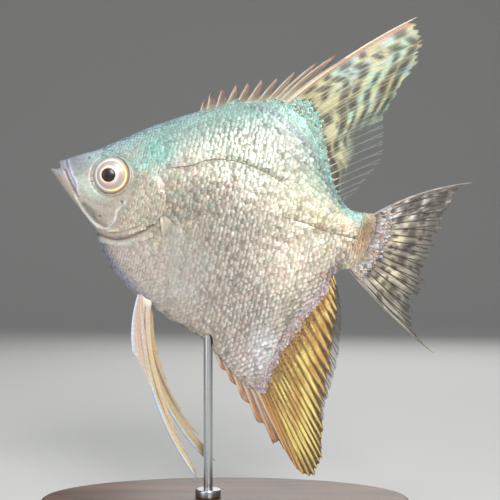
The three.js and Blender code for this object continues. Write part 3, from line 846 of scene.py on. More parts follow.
def scale_colours(roots, relief, tints, ranks, outline):
    """For each scale its colour, how strongly its painted glint shows, and how dark the painted
    shade at its root is.
    """
    x, z = roots[:, 0], roots[:, 2]
    count = len(roots)
    lateral = from_lateral_line(side_view(roots))
    base = tint(markings(roots, outline), "#8A8270", 0.5 * bell(lateral, 0, 0.5))
    base = base * (1 - tints[:, 3:]) + tints[:, :3] * tints[:, 3:]
    spice = (rng.random(count) < 0.34 * ease(54, 76, x) * ease(5, 0, z)) * rng.random(count)
    base = tint(base, "#B58A5C", 0.6 * spice)
    cheek = ease(16, 20, x) * ease(42, 30, x) * ease(-17, -12, z) * ease(7, 3, z)
    flecked = (rng.random(count) < 0.6 * cheek)[:, None] * rng.uniform(0.1, 0.55, count)[:, None]
    flecks = palette(FLECKS)[rng.integers(0, len(FLECKS), count)]
    base = base * (1 - flecked) + flecks * flecked
    base = base * rng.normal(1, 0.07 + 0.05 * ease(30, 60, x))[:, None]
    base = base * (1 + rng.normal(0, 0.02, (count, 3)) * (1, 0.4, 1))
    banded = (ranks % 2) * ease(26, 32, x) * ease(64, 54, x) * ease(-16, -8, z) * ease(15, 9, z)
    base = base * (1 - 0.32 * banded * blotches(roots, 6, 1))[:, None]
    # The painted glint: how strongly a pale streak is mixed into each scale, in soft random
    # patches, weaker where the scale is flat.
    painted_glint = np.clip(rng.gamma(2.6, 0.22, count) * (0.5 + blotches(roots, 4, 2)), 0, 1)
    # Where the key light's highlight falls on the upper flank, the painted glint is weaker and the
    # painted shade at each scale's root is darker.
    crest = np.exp(-(((x - 51) / 10) ** 2) - ((z - 12) / 5) ** 2)
    painted_glint = painted_glint * (0.06 + 0.94 * np.minimum(relief, 1)) * (1 - 0.5 * banded) * (1 - 0.6 * crest)
    return base, painted_glint, 0.12 + 0.26 * relief + 0.2 * crest


def scale_coat(name, shape, coat):
    """All the scales of one side as one mesh, painted as the skin is, with a painted glint and
    painted shade on each scale.
    """
    roots, normals, sizes, girths, tail, tints, ranks = coat.gathered()
    length, breadth, relief = sizes.T
    count = len(roots)
    along = tail - normals * (tail * normals).sum(1)[:, None]
    along /= np.linalg.norm(along, axis=1)[:, None]
    pitch_up = (0.05 * relief / length) + rng.normal(0, 0.04, count) * relief
    raised = tipped(along, normals, pitch_up)
    roll = rng.normal(0, 0.06, count) * (0.2 + 0.8 * relief)
    across = tipped(np.cross(normals, along), normals, roll)
    outwards = np.cross(raised, across)
    grown = rng.normal(1, 0.05, count)

    template = points_of(shape)
    sides = (
        raised * (length * grown)[:, None],
        across * (breadth / 2 * grown)[:, None],
        outwards * ((0.015 + 0.05 * relief) * breadth)[:, None],
    )
    points = roots[:, None] + 0.03 * normals[:, None]
    for axis, side in enumerate(sides):
        points = points + template[:, axis, None] * side[:, None]
    faces = faces_of(shape) + (np.arange(count) * len(template))[:, None, None]
    piece = mesh_piece(name, points.reshape(-1, 3), faces.reshape(-1, 3))

    base, painted_glint, dark = scale_colours(roots, relief, tints, ranks, coat.outline)
    s, w = template[:, 0], template[:, 1]
    # The painted glint: a pale streak near each scale's rear edge, mixed in by the scale's glint.
    glint_streak = np.exp(-(((s - 0.78) / 0.13) ** 2) - (w / 0.8) ** 6)
    # Painted shade: each scale is darker towards its root, where it lies under the one before.
    shade = ease(0.72, 0.45, s) * dark[:, None]
    # Painted shade along each scale's lower edge, as if lit from above.
    lower = ease(0.35, 1, w * coat.side) * ease(0.3, 0.6, s)
    shade = shade + (1 - shade) * lower * 0.38 * np.minimum(relief, 0.8)[:, None]
    colours = base[:, None] * (1 - shade)[..., None]
    amount = (painted_glint[:, None] * glint_streak)[..., None]
    bright = np.clip(base * 0.5 + 0.55, 0, 1)[:, None]
    paint(piece, np.clip(colours * (1 - amount) + bright * amount, 0, 1).reshape(-1, 3))

    stations = coat.outline.stations
    u = 0.02 + 0.96 * (roots[:, 0] - stations[0]) / np.ptp(stations)
    v = 0.02 + 0.46 * girths + (0.5 if coat.side == RIGHT else 0)
    aside = (template[None, :, :2] - (0.5, 0)) * (BAKE_PATCH, BAKE_PATCH / 2)
    at = (np.stack([u, v], 1)[:, None] + aside).reshape(-1, 2)
    layer = piece.data.uv_layers.new(name="OFBake")
    layer.data.foreach_set("uv", at[faces.ravel()].astype(np.float32).ravel())
    only(piece)
    bpy.ops.object.shade_smooth_by_angle(angle=math.radians(50))
    return piece


def lay_scales(side, tree, outline, shape):
    """The large scales and the fine scales of one flank."""

    def on_small(flat):
        x, z = flat.T
        near_back = (outline.back(x) - z < 4 - 2 * ease(34, 44, x)) & (x < 44)
        on_tail = x > 74.5 + 0.8 * np.sin(z * 2.3)
        return near_back | on_tail | inside(ABOVE_SHEATH, flat) | inside(BELOW_SHEATH, flat)

    def on_flank(flat):
        return ~(inside(HEAD_REGION, flat) | on_small(flat))

    def on_fine(flat):
        x, z = flat.T
        on_head = inside(HEAD_REGION, flat)
        folds = [distance_to(spline(line, 40), flat)[0] for line in (PREOPERCLE, GILL_SLIT[:-3])]
        bare = (from_eye(flat) < EYE_RADIUS + 1.3) | (np.minimum(*folds) < 0.5)
        brow = (z > 3.2 - 0.55 * (x - 8)) & (z > -1.4) & (x > 10)
        behind = (x > 26.5) & (z > -14)
        breast = (z < -17.6) & (x > 14)
        on_cover = inside(COVER_FIELD, flat)
        return (on_cover | on_head & (brow | behind | breast) | on_small(flat) & ~on_head) & ~bare

    def flank_relief(flat):
        x, z = flat.T
        rear = ease(27, 46, x + 0.3 * z)
        return 0.28 + 0.72 * rear * (0.3 + 0.7 * ease(3, 9, outline.back(x) - z))

    def fine_relief(flat):
        return 0.3 + 0.4 * ease(44, 54, flat[:, 0]) * ease(79, 74, flat[:, 0])

    large = Coat(side, tree, outline)
    large.lay(21, 76, SCALE_PITCH, SCALE_ROW, on_flank, (1.95, 1.46), flank_relief)
    pieces = [scale_coat(f"flank_scales_{WORDS[side]}", shape, large)]
    fine = Coat(side, tree, outline)
    fine.lay(9, 81.4, FINE_PITCH, FINE_ROW, on_fine, (1.25, 0.98), fine_relief)
    fine.sheathe(DORSAL_FRONT, 0.3, 0.98, -0.2, 2.2, 0.9, 0.66, MINT)
    fine.sheathe(DORSAL_REAR, 0, 0.93, -0.9, 4.2, 0.95, 0.66, MINT, 0.8)
    fine.sheathe(ANAL_REAR, 0, 0.92, -0.8, 3.2, 0.95, 0.66, MAUVE)
    fine.sheathe(ANAL_FRONT, 0.2, 1, -0.4, 2.4, 0.95, 0.66, MAUVE)
    fine.sheathe(TAIL, 0.03, 0.97, -1.4, 1.9, 1.3, 0.6, SILVER)
    return pieces + [scale_coat(f"fine_scales_{WORDS[side]}", shape, fine)]


def on_skin(tree, side, line, count, height):
    """Points along a side-view line, a little above the skin."""
    found = [cast(tree, side, x, z) for x, z in spline(line, count)]
    return np.array([place + normal * height for place, normal in found])


def skin_details(side, tree):
    """The tubes of the lateral line, and the fleshy root of the pectoral fin."""
    count, sides = 90, 6
    lines = np.array([on_skin(tree, side, line, count, 0.26) for line in LATERAL_LINE])
    wave = np.tile(1 + 0.35 * np.cos(np.arange(count) * 1.9), (2, 1))
    radius = 0.13 * wave * np.sin(np.linspace(0.3, 2.9, count)) ** 0.3
    tube = tubes(f"lateral_line_{WORDS[side]}", lines, radius, sides)
    swollen = np.repeat(wave.ravel(), sides)
    colours = tint(tiled("#A39A83", swollen), "#7A715C", ease(1.2, 0.8, swollen))
    paint(tube, clear(colours, 1))

    share, sides = np.linspace(0, 1, 20), 12
    root = on_skin(tree, side, PECTORAL_ROOT, len(share), 0.45)[None]
    radius = 0.12 + 0.5 * np.sin(share * math.pi) ** 0.8 * (1 - 0.3 * share)
    lobe = tubes(f"pectoral_root_{WORDS[side]}", root, radius[None], sides, 0.7)
    x, z = side_view(points_of(lobe)).T
    colours = layered(
        tiled("#C9BDB2", x),
        ("#C08A62", 0.7 * ease(0.1, 0.6, x - 28.9 - 0.35 * (-9 - z))),
        ("#B9A79C", 0.8 * ease(0.7, 1.0, np.repeat(share, sides))),
    )
    paint(lobe, clear(colours, 1))
    return [tube, lobe]


# ------------------------------------------------------------------ finishes


class Finish:
    """A material built from nodes, with the shader's own sockets set by name."""

    def __init__(self, name, **sockets):
        self.material = bpy.data.materials.new(name)
        self.material.use_nodes = True
        self.nodes = self.material.node_tree.nodes
        self.shader = self.nodes["Principled BSDF"]
        self.feed(self.shader, **sockets)

    def add(self, kind, **inputs):
        """Adds a node. Its inputs are numbers, colours, or another node's output."""
        node = self.nodes.new(kind)
        self.feed(node, **inputs)
        return node

    def feed(self, node, **inputs):
        for socket, value in inputs.items():
            target = node.inputs[socket.replace("_", " ")]
            if isinstance(value, bpy.types.NodeSocket):
                self.material.node_tree.links.new(value, target)
            else:
                target.default_value = value

    def marking(self):
        """The stored colour and its alpha."""
        node = self.add("ShaderNodeVertexColor")
        node.layer_name = MARKING
        return node.outputs["Color"], node.outputs["Alpha"]

    def place(self, *scale):
        """The piece's own coordinates, stretched by a scale if one is given."""
        place = self.add("ShaderNodeTexCoord").outputs["Object"]
        if scale:
            place = self.add("ShaderNodeMapping", Vector=place, Scale=scale).outputs["Vector"]
        return place

    def noise(self, scale, detail=3, roughness=0.55, vector=None):
        """Noise over the piece's own coordinates, whose scale counts features to a metre."""
        vector = vector or self.place()
        inputs = {"Scale": scale, "Detail": detail, "Roughness": roughness, "Vector": vector}
        return self.add("ShaderNodeTexNoise", **inputs).outputs["Fac"]

    def ramp(self, value, *stops):
        """Maps a value through a ramp of (place, colour or grey)."""
        node = self.add("ShaderNodeValToRGB", Fac=value)
        elements = node.color_ramp.elements
        while len(elements) < len(stops):
            elements.new(1)
        for element, (place, colour) in zip(elements, stops):
            element.position = place
            element.color = (*linear(colour), 1) if isinstance(colour, str) else (*(colour,) * 3, 1)
        return node.outputs["Color"]

    def shade(self, colour, amount, value, *stops):
        """Multiplies a colour, by an amount, with a ramp over a value."""
        node = self.nodes.new("ShaderNodeMix")
        node.data_type, node.blend_type = "RGBA", "MULTIPLY"
        factor, first, second, result = 0, 6, 7, 2  # the node's sockets for mixing colours
        node.inputs[factor].default_value = amount
        self.material.node_tree.links.new(colour, node.inputs[first])
        self.material.node_tree.links.new(self.ramp(value, *stops), node.inputs[second])
        return node.outputs[result]

    def map(self, value, low, high):
        """Maps 0 to 1 onto low to high."""
        node = self.add("ShaderNodeMapRange", Value=value, To_Min=low, To_Max=high)
        return node.outputs["Result"]

    def bump(self, height, strength, distance):
        node = self.add("ShaderNodeBump", Height=height, Strength=strength, Distance=distance)
        self.feed(self.shader, Normal=node.outputs["Normal"])


def pearl_finish(name, roughness, bump):
    """Pearly fish skin: the stored marking, tinted by fine patches of mint and rose."""
    finish = Finish(name, Metallic=0.2, Coat_Weight=0.12, Coat_Roughness=0.12)
    colour, _ = finish.marking()
    hues = (0.3, "#D9EFE6"), (0.45, "#FFFFFF"), (0.56, "#FFFFFF"), (0.7, "#F6E6E4")
    colour = finish.shade(colour, 0.55, finish.noise(420, 2), *hues)
    colour = finish.shade(colour, 0.8, finish.noise(2600, 3, 0.6), (0.3, 0.62), (0.65, 1.0))
    colour = finish.shade(colour, 0.7, finish.noise(1100, 2, 0.6), (0.34, 0.8), (0.6, 1.0))
    gloss = finish.map(finish.noise(1800, 2), roughness - 0.08, roughness + 0.1)
    finish.feed(finish.shader, Base_Color=colour, Roughness=gloss)
    finish.bump(finish.noise(3800, 3, 0.6), bump, 0.00012)
    return finish.material


def fin_finish(name, roughness, metallic):
    """Fin web and rays: the stored colour and clearness, with a fine fibrous grain."""
    sheen = {"Coat_Weight": 0.08, "Coat_Roughness": 0.25}
    finish = Finish(name, Metallic=metallic, Roughness=roughness, **sheen)
    colour, alpha = finish.marking()
    colour = finish.shade(colour, 0.85, finish.noise(2400, 3, 0.65), (0.3, 0.68), (0.7, 1.0))
    finish.feed(finish.shader, Base_Color=colour, Alpha=alpha)
    finish.bump(finish.noise(2200, 2), 0.25, 0.0001)
    return finish.material


def eye_finish():
    """A glass eye: the stored rings, streaked, under a clear polish."""
    polish = {"Coat_Weight": 0.22, "Coat_Roughness": 0.12}
    finish = Finish("glass_eye", Roughness=0.34, Metallic=0.15, **polish)
    colour, _ = finish.marking()
    colour = finish.shade(colour, 0.7, finish.noise(2300, 4, 0.7), (0.3, 0.78), (0.65, 1.0))
    finish.feed(finish.shader, Base_Color=colour)
    return finish.material


def walnut_finish():
    """Oiled walnut, its grain along the base."""
    finish = Finish("oiled_walnut", Coat_Weight=0.22, Coat_Roughness=0.25)
    place = finish.place(0.12, 1, 1)
    broad = finish.noise(130, 4, 0.6, place)
    rings = finish.add("ShaderNodeTexWave", Scale=95, Distortion=9, Detail=3, Vector=place)
    rings.bands_direction = "Y"
    fine = finish.noise(1500, 3, 0.7, place)
    wood = finish.ramp(broad, (0.3, "#3A2417"), (0.5, "#5E3D27"), (0.7, "#7A5437"))
    wood = finish.shade(wood, 0.5, rings.outputs["Fac"], (0.2, 0.55), (0.8, 1.0))
    wood = finish.shade(wood, 0.6, fine, (0.35, 0.6), (0.6, 1.0))
    finish.feed(finish.shader, Base_Color=wood, Roughness=finish.map(fine, 0.34, 0.52))
    finish.bump(fine, 0.3, 0.0002)
    return finish.material


def steel_finish():
    """Brushed stainless steel, turned round its own axis."""
    finish = Finish("brushed_steel", Metallic=1)
    brushed = finish.noise(900, 4, 0.7, finish.place(1, 1, 14))
    steel = finish.ramp(brushed, (0.3, "#B4B7BA"), (0.7, "#C4C6C9"))
    finish.feed(finish.shader, Base_Color=steel, Roughness=finish.map(brushed, 0.2, 0.3))
    finish.bump(brushed, 0.05, 0.00003)
    return finish.material


# ------------------------------------------------------------------ eyes

PUPIL_RADIUS = 1.7
PUPIL_SHIFT = Vector((-0.62, 0, -0.05))  # the eye looks a little ahead
EYE_RELIEF = [
    # radius, width, height
    (1.86, 0.14, 0.07), (2.9, 0.5, -0.1), (3.42, 0.1, -0.1), (3.78, 0.22, 0.1),
]
EYE_DOME = 4.75  # the radius at which the eye's dome would come down to nothing


def eye_rings(radius, angle):
    """The colour of the eye at a distance from its middle and an angle round it."""
    ahead = 0.5 - 0.5 * np.cos(angle)  # 1 towards the snout
    behind = ease(-0.35, 0.75, np.cos(angle + 0.18))
    return layered(
        tiled("#C4B4AF", radius),
        ("#D2A987", 0.7 * bell(angle, 0.7, 0.5) * ease(2.1, 2.7, radius)),
        ("#B9977C", 0.6 * bell(angle, 1.75, 0.45) * ease(2.1, 2.7, radius)),
        ("#B8A6C4", 0.4 * bell(angle, -0.4, 0.5) * ease(2.6, 3.2, radius)),
        ("#EDE2E2", 0.95 * bell(radius, 2, 0.27)),
        ("#E8877A", 0.75 * bell(angle, -1.35, 0.55) * bell(radius, 2.1, 0.3)),
        ("#E9A93C", (0.35 + 0.6 * ahead) * bell(radius, 1.72, 0.13)),
        ("#E4E9E6", 0.8 * (1 - behind) * bell(radius, 3.75, 0.2)),
        ("#A08F88", 0.6 * ease(2.3, 2.7, radius) * ease(3.5, 3.1, radius)),
        ("#7D736E", 0.7 * bell(radius, 3.4, 0.12)),
        # A painted reflection: the pale yellow crescent round the rear of the rim.
        ("#FFF3B8", behind * bell(radius, 3.72, 0.3)),
        ("#F0A24C", 0.8 * behind * bell(radius, 4, 0.14)),
        ("#BFEBDD", 0.6 * bell(angle, 1.7, 0.5) * bell(radius, 3.75, 0.25)),
        ("#9FA29C", 0.85 * ease(4.1, 4.3, radius)),
        ("#101214", ease(PUPIL_RADIUS + 0.06, PUPIL_RADIUS - 0.06, radius)),
    )


def dome(radius, edge):
    """The height, from 0 to 1, of a round dome over a distance from its middle."""
    return np.sqrt(np.maximum(1 - (radius / edge) ** 2, 0))


def glass_eye(side):
    """One eye: a shallow dome with raised rings and a standing lens, from a turned disc."""
    low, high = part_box(f"eye_{WORDS[side]}")
    middle = FISH.inverted() @ ((low + high) / 2)
    bulge = (high.y - low.y) / 2 / MM
    grid = bpy.ops.mesh.primitive_grid_add
    eye = started(f"eye_glass_{WORDS[side]}", grid, x_subdivisions=72, y_subdivisions=46, size=1)
    unit = points_of(eye)
    angle = (unit[:, 0] + 0.5) * 2 * math.pi - math.pi
    radius = (unit[:, 1] + 0.5) * (EYE_RADIUS + 0.4)
    shift = 1 - ease(PUPIL_RADIUS, EYE_RADIUS - 0.3, radius)
    relief = 0.16 * dome(radius, PUPIL_RADIUS) - 0.1 * bell(radius - PUPIL_RADIUS, 0.02, 0.1)
    for place, width, height in EYE_RELIEF:
        relief = relief + height * bell(radius, place, width)
    set_points(eye, np.column_stack([
        EYE.x + radius * np.cos(angle) + shift * PUPIL_SHIFT.x,
        middle.y + side * (bulge * dome(radius, EYE_DOME) + relief - 0.02),
        EYE.z + radius * np.sin(angle) + shift * PUPIL_SHIFT.z,
    ]))
    paint(eye, eye_rings(radius, angle))
    with editing(eye, "SELECT", "EDGE"):
        bpy.ops.mesh.remove_doubles(threshold=0.004)
    with editing(eye, "DESELECT", "EDGE"):
        bpy.ops.mesh.select_non_manifold()
        bpy.ops.mesh.extrude_region_move(TRANSFORM_OT_translate={"value": (0, -1.4 * side, 0)})
        bpy.ops.mesh.edge_face_add()
        bpy.ops.mesh.select_all(action="SELECT")
        bpy.ops.mesh.normals_make_consistent(inside=False)
    bpy.ops.object.shade_smooth()
    eye.data.transform(FISH)
    return eye


# ------------------------------------------------------------------ fins

# A fin spreads between guide rays: the place of a ray's root, its tip, and how far it bends.

DORSAL_SPINES = [
    ((31.8, 18.6), (32.1, 23), 0), ((33.5, 19.4), (33.2, 25.5), 0),
    ((35.4, 20.2), (35.9, 26.5), 0), ((37.5, 21.2), (39.1, 28.2), 0),
    ((39.9, 22), (41.9, 29.3), 0), ((42.1, 22.8), (45.1, 30.8), 0),
    ((44.4, 23.4), (48.8, 32.1), 0.1), ((46.6, 23.8), (52.8, 34.5), 0.3),
    ((48.3, 24.3), (57.5, 37.8), 0.5), ((49.8, 24.7), (62, 40.9), 0.9),
    ((50.9, 24.9), (64.4, 40.6), 0.6),
]
DORSAL_GUIDES = [
    ((51.4, 25), (80.1, 55.1), 1.3), ((53.6, 24.8), (82.7, 51.8), 1.2),
    ((55.7, 24.2), (83.4, 48.6), 1), ((57.9, 22.5), (83.4, 45), 0.9),
    ((60.1, 19.8), (80.4, 37.4), 0.7), ((62.4, 16.4), (77.9, 29.4), 0.5),
    ((64.4, 13), (78.8, 24.1), 0.4), ((66.7, 9.2), (79, 18.1), 0.3),
    ((68.7, 5.9), (75.6, 11), 0.2), ((70.2, 4.4), (72.9, 6.9), 0.1),
]
ANAL_SPINES = [
    ((47.6, -36.6), (51, -41.9), 0), ((50, -38.2), (53.9, -44.4), 0),
    ((52.6, -39.8), (57.5, -48), 0), ((55.3, -41.5), (62.4, -52.8), 0),
    ((58, -43.2), (67.6, -57.4), 0), ((59.4, -43.6), (70.6, -58.2), 0),
]
ANAL_GUIDES = [
    ((59.4, -43.6), (71.2, -58.6), 0), ((60.8, -42.8), (75.6, -63), 0),
    ((61.1, -40.4), (79.4, -63.2), 0), ((61.5, -37.2), (80.5, -59.6), 0),
    ((61.9, -34.2), (79.9, -55), 0), ((63, -30.8), (78.8, -48.6), 0),
    ((64.9, -27), (78.8, -42.4), 0), ((66.9, -22.4), (79, -36), 0),
    ((69, -17.6), (78.4, -28), 0), ((70.6, -13.9), (77.2, -22), 0),
    ((71.9, -11.2), (75.2, -16.8), 0),
]
TAIL_GUIDES = [
    ((81.1, 5), (103, 17.4), 1.3), ((81.9, 3.4), (100.4, 12), 0.7),
    ((82.3, 1.4), (98.4, 6.8), 0.2), ((82.3, -0.9), (98.6, 0.8), 0),
    ((81.7, -3.6), (96.8, -4.4), 0), ((81, -5.9), (97.5, -9.8), 0),
    ((80.1, -7.9), (97.1, -15.2), -0.2), ((79, -9.8), (97.6, -21.4), -0.6),
    ((77.6, -11.5), (102.4, -26.8), -0.9),
]
PELVIC_LEFT = [
    ((26.8, -28.4), (29.2, -43.8), -1), ((27.6, -28.7), (50.9, -69.2), -3.9),
    ((28.4, -29), (49.7, -67), -3.7), ((29.2, -29.3), (44.8, -60.6), -2.7),
    ((30, -29.6), (38.5, -51.4), -1.3),
]
PELVIC_RIGHT = [
    ((27.2, -28.6), (31, -44), -1.2), ((28, -28.9), (51.3, -65.2), -4.4),
    ((28.8, -29.2), (55.1, -65.8), -5), ((29.6, -29.5), (40.4, -52), -2),
    ((30.3, -29.8), (36.4, -45.8), -0.9),
]
PECTORAL_GUIDES = [
    ((0, 1.5), (17.5, 1.2), 0), ((0.3, 0.6), (19.6, -4), 0), ((0.4, -0.4), (17.8, -10), 0),
    ((0, -1.5), (11.5, -13.6), 0),
]


DORSAL_RAYS = 24
ANAL_RAYS = 25
TAIL_RAYS = 18
PECTORAL_RAYS = 13
DORSAL_BANDS = (0.11, 0.24, 0.37, 0.5, 0.63, 0.76, 0.89)


class Fin:
    """A fin's surface, by the share across its rays and the share along them."""

    def __init__(self, guides, bow=0.0, smooth=True, place=None):
        self.guides = [np.array([guide[k] for guide in guides], float) for k in range(3)]
        self.bow, self.place = bow, place
        self.read = on_spline if smooth else self.straight

    def at(self, across, along):
        """The points at pairs of shares, in arrays of any one shape."""
        root, tip = self.read(self.guides[0], across), self.read(self.guides[1], across)
        bend = self.read(self.guides[2][:, None], across)[..., 0]
        run = tip - root
        aside = 4 * bend * along * (1 - along) / np.linalg.norm(run, axis=-1)
        x = root[..., 0] + run[..., 0] * along - run[..., 1] * aside
        z = root[..., 1] + run[..., 1] * along + run[..., 0] * aside
        points = np.stack([x, self.bow * along**2, z], -1)
        return self.place(points) if self.place else points

    @staticmethod
    def straight(values, shares):
        """Values at shares, from 0 to 1, of the way along a row of them."""
        place = np.clip(shares, 0, 1) * (len(values) - 1)
        i = np.minimum(place.astype(int), len(values) - 2)
        w = (place - i)[..., None]
        return values[i] * (1 - w) + values[i + 1] * w


DORSAL_FRONT = Fin(DORSAL_SPINES, smooth=False)
DORSAL_REAR = Fin(DORSAL_GUIDES, 1.6)
ANAL_FRONT = Fin(ANAL_SPINES, smooth=False)
ANAL_REAR = Fin(ANAL_GUIDES, -1.4)
TAIL = Fin(TAIL_GUIDES, 1.2)


def fin_web(name, fin, columns, rows, reach, colours, thickness=0.13, start=-0.08):
    """The membrane of a fin: a thin solid sheet, out to a ragged margin."""
    grid = bpy.ops.mesh.primitive_grid_add
    web = started(name, grid, x_subdivisions=columns, y_subdivisions=rows, size=1)
    unit = points_of(web)
    across = np.clip(unit[:, 0] + 0.5, 0, 1)
    along = start + (reach(across) - start) * (unit[:, 1] + 0.5)
    points = fin.at(across, along)
    set_points(web, points)
    paint(web, colours(across, along, points, 0))
    finish_modifier(web, "SOLIDIFY", thickness=thickness, offset=0)
    face_outwards(web)
    bpy.ops.object.shade_smooth()
    return web


def tubes(name, middle, radius, sides=6, flat=0.8):
    """Closed strands of rings along rows of middle points, thinner sideways by `flat`."""
    forward = np.gradient(middle, axis=1)
    forward /= np.linalg.norm(forward, axis=2)[..., None]
    outward = np.array([0.0, 1.0, 0.0]) - forward * forward[..., 1:2]
    outward /= np.linalg.norm(outward, axis=2)[..., None]
    upward = np.cross(forward, outward)
    angle = (np.arange(sides) / sides * 2 * math.pi)[:, None]
    ring = upward[:, :, None] * np.cos(angle) + flat * outward[:, :, None] * np.sin(angle)
    points = middle[:, :, None] + ring * radius[:, :, None, None]
    number = np.arange(radius.size * sides).reshape(*radius.shape, sides)
    a, b = number[:, :-1], number[:, 1:]
    c, d = np.roll(b, -1, 2), np.roll(a, -1, 2)
    faces = [np.stack([a, b, c], -1).reshape(-1, 3), np.stack([a, c, d], -1).reshape(-1, 3)]
    for end, order in ((0, (0, 2, 1)), (-1, (0, 1, 2))):
        rim = number[:, end]
        fan = np.stack([np.repeat(rim[:, :1], sides - 2, 1), rim[:, 1:-1], rim[:, 2:]], -1)
        faces.append(fan[..., order].reshape(-1, 3))
    piece = mesh_piece(name, points.reshape(-1, 3), np.concatenate(faces))
    face_outwards(piece)
    return piece


def fin_rays(name, fin, paths, colours, steps=18, sides=6):
    """Rays as tapered strands. A path is its share across, its two ends along, and its radii."""
    share = np.linspace(0, 1, steps)
    along = np.array([a + (b - a) * share for _, (a, b), _, _ in paths])
    across = np.array([path[0](row) for path, row in zip(paths, along)])
    middle = fin.at(across, along)
    strides = np.linalg.norm(np.diff(middle, axis=1, prepend=middle[:, :1]), axis=2)
    thick, thin = (np.array([path[k] for path in paths])[:, None] for k in (2, 3))
    radius = thick + (thin - thick) * np.clip(along, 0, 1)
    radius = radius * (1 + 0.07 * np.cos(np.cumsum(strides, 1) * 7))  # a ray's joints
    radius = radius * (1 - 0.65 * ease(0.94, 1, share))
    radius[:, 0] *= 0.5
    piece = tubes(name, middle, radius, sides)
    across, along = (np.repeat(values.ravel(), sides) for values in (across, along))
    paint(piece, colours(across, along, points_of(piece), 1))
    return piece


def strand(at, start, end, thick, thin):
    """The path of one unbranched ray, at its share across."""
    return (lambda along: np.full(len(along), at)), (start, end), thick, thin


def stout(spines, thick, thin):
    """Paths of evenly spaced, unbranched spines."""
    return [strand(i / (spines - 1), -0.12, 1.0, thick, thin) for i in range(spines)]


def branching(count, reach, thick, thin, first=0.5, second=0.78, spread=0.24):
    """Paths of soft rays, each splitting in two and then in four."""
    gap = 1 / (count - 1)

    def branch(i, up, outer):
        share = i * gap
        early = first + 0.1 * (hashed(i, 1) - 0.5)
        late = second + 0.08 * (hashed(i, 2) - 0.5)

        def across(along):
            split = up * spread * ease(early, 1.3, along) * 1.6
            split = split + outer * spread * 0.9 * ease(late, 1.3, along)
            return np.clip(share + gap * split, 0, 1)

        start = early - 0.03 if outer == 1 else late - 0.02
        if (up, outer) == (1, 1):
            start = -0.1
        end = float(reach(np.array([share + gap * spread * 0.5 * up]))[0])
        end = end + 0.012 * (hashed(i, up, outer) - 0.2)
        return across, (start, min(end, 1.0)), thick, thin

    return [branch(i, up, outer) for i in range(count) for up in (1, -1) for outer in (1, -1)]


def ragged(count, notch, ragged_by):
    """A margin: rays reach their full length, and the web ends short between them."""

    def reach(across):
        place = across * (count - 1)
        gap = np.abs(place - np.rint(place)) * 2
        torn = hashed(np.floor(place + 0.5), 4) * 0.6 + hashed(np.floor(place * 4 + 0.5), 5) * 0.4
        return 1 - notch * np.sqrt(gap) - ragged_by * torn

    return reach


def sawtooth(spines, depth, last):
    """The margin behind stout spines: each flag of web is highest just behind its spine."""

    def reach(across):
        place = across * (spines - 1)
        aside = np.where(place >= spines - 1, 1.0, place - np.floor(place))
        notch = depth + (last - depth) * ease(0.7, 0.9, across)
        fall = 0.65 * ease(0.02, 0.95, aside) + 0.35 * aside**0.7
        return 0.995 - notch * fall + 0.012 * np.sin(aside * 31)

    return reach


def cells(across, along, count, bands, wide=0.38, tall=0.035, missing=0.2):
    """Dark spots that fill the cells between rays, in bands along the fin."""
    place = across * (count - 1)
    cell = np.floor(place)
    aside = place - cell - 0.5
    dark = np.zeros(np.shape(across))
    for k, band in enumerate(bands):
        middle = band + 0.045 * (hashed(cell + 1, k + 3) - 0.5) + 0.025 * (cell % 2)
        size = tall * (0.7 + 0.8 * hashed(cell + 7, k + 11))
        present = hashed(cell + 2, k + 5) > missing
        spot = np.exp(-((aside / wide) ** 4) - ((along - middle) / size) ** 4)
        dark = np.maximum(dark, present * spot)
    return dark


def streaks(across, along, count, waves, seed):
    """Patches from 0 to 1 that run out along each cell between rays."""
    cell = np.floor(across * (count - 1) * 2)
    phase = hashed(cell + 1, seed) * 6.28
    slow = np.sin(along * waves * 6.28 + 0.4 * phase + cell * 0.35)
    return np.clip(0.5 + 0.35 * slow + 0.3 * np.sin(along * waves * 14 + phase), 0, 1)


def fibres(across, along, count):
    """Fine lengthwise lines between the rays, from 0 to 1."""
    line = np.floor(across * count * 9)
    return 0.5 * hashed(line + 1, 9) + 0.5 * hashed(line + 3, np.floor(along * 7 + hashed(line, 2)))


# A fin's colours come from the shares across and along it, and its web (ray 0) and its rays
# (ray 1) take the same pattern, so that they join.


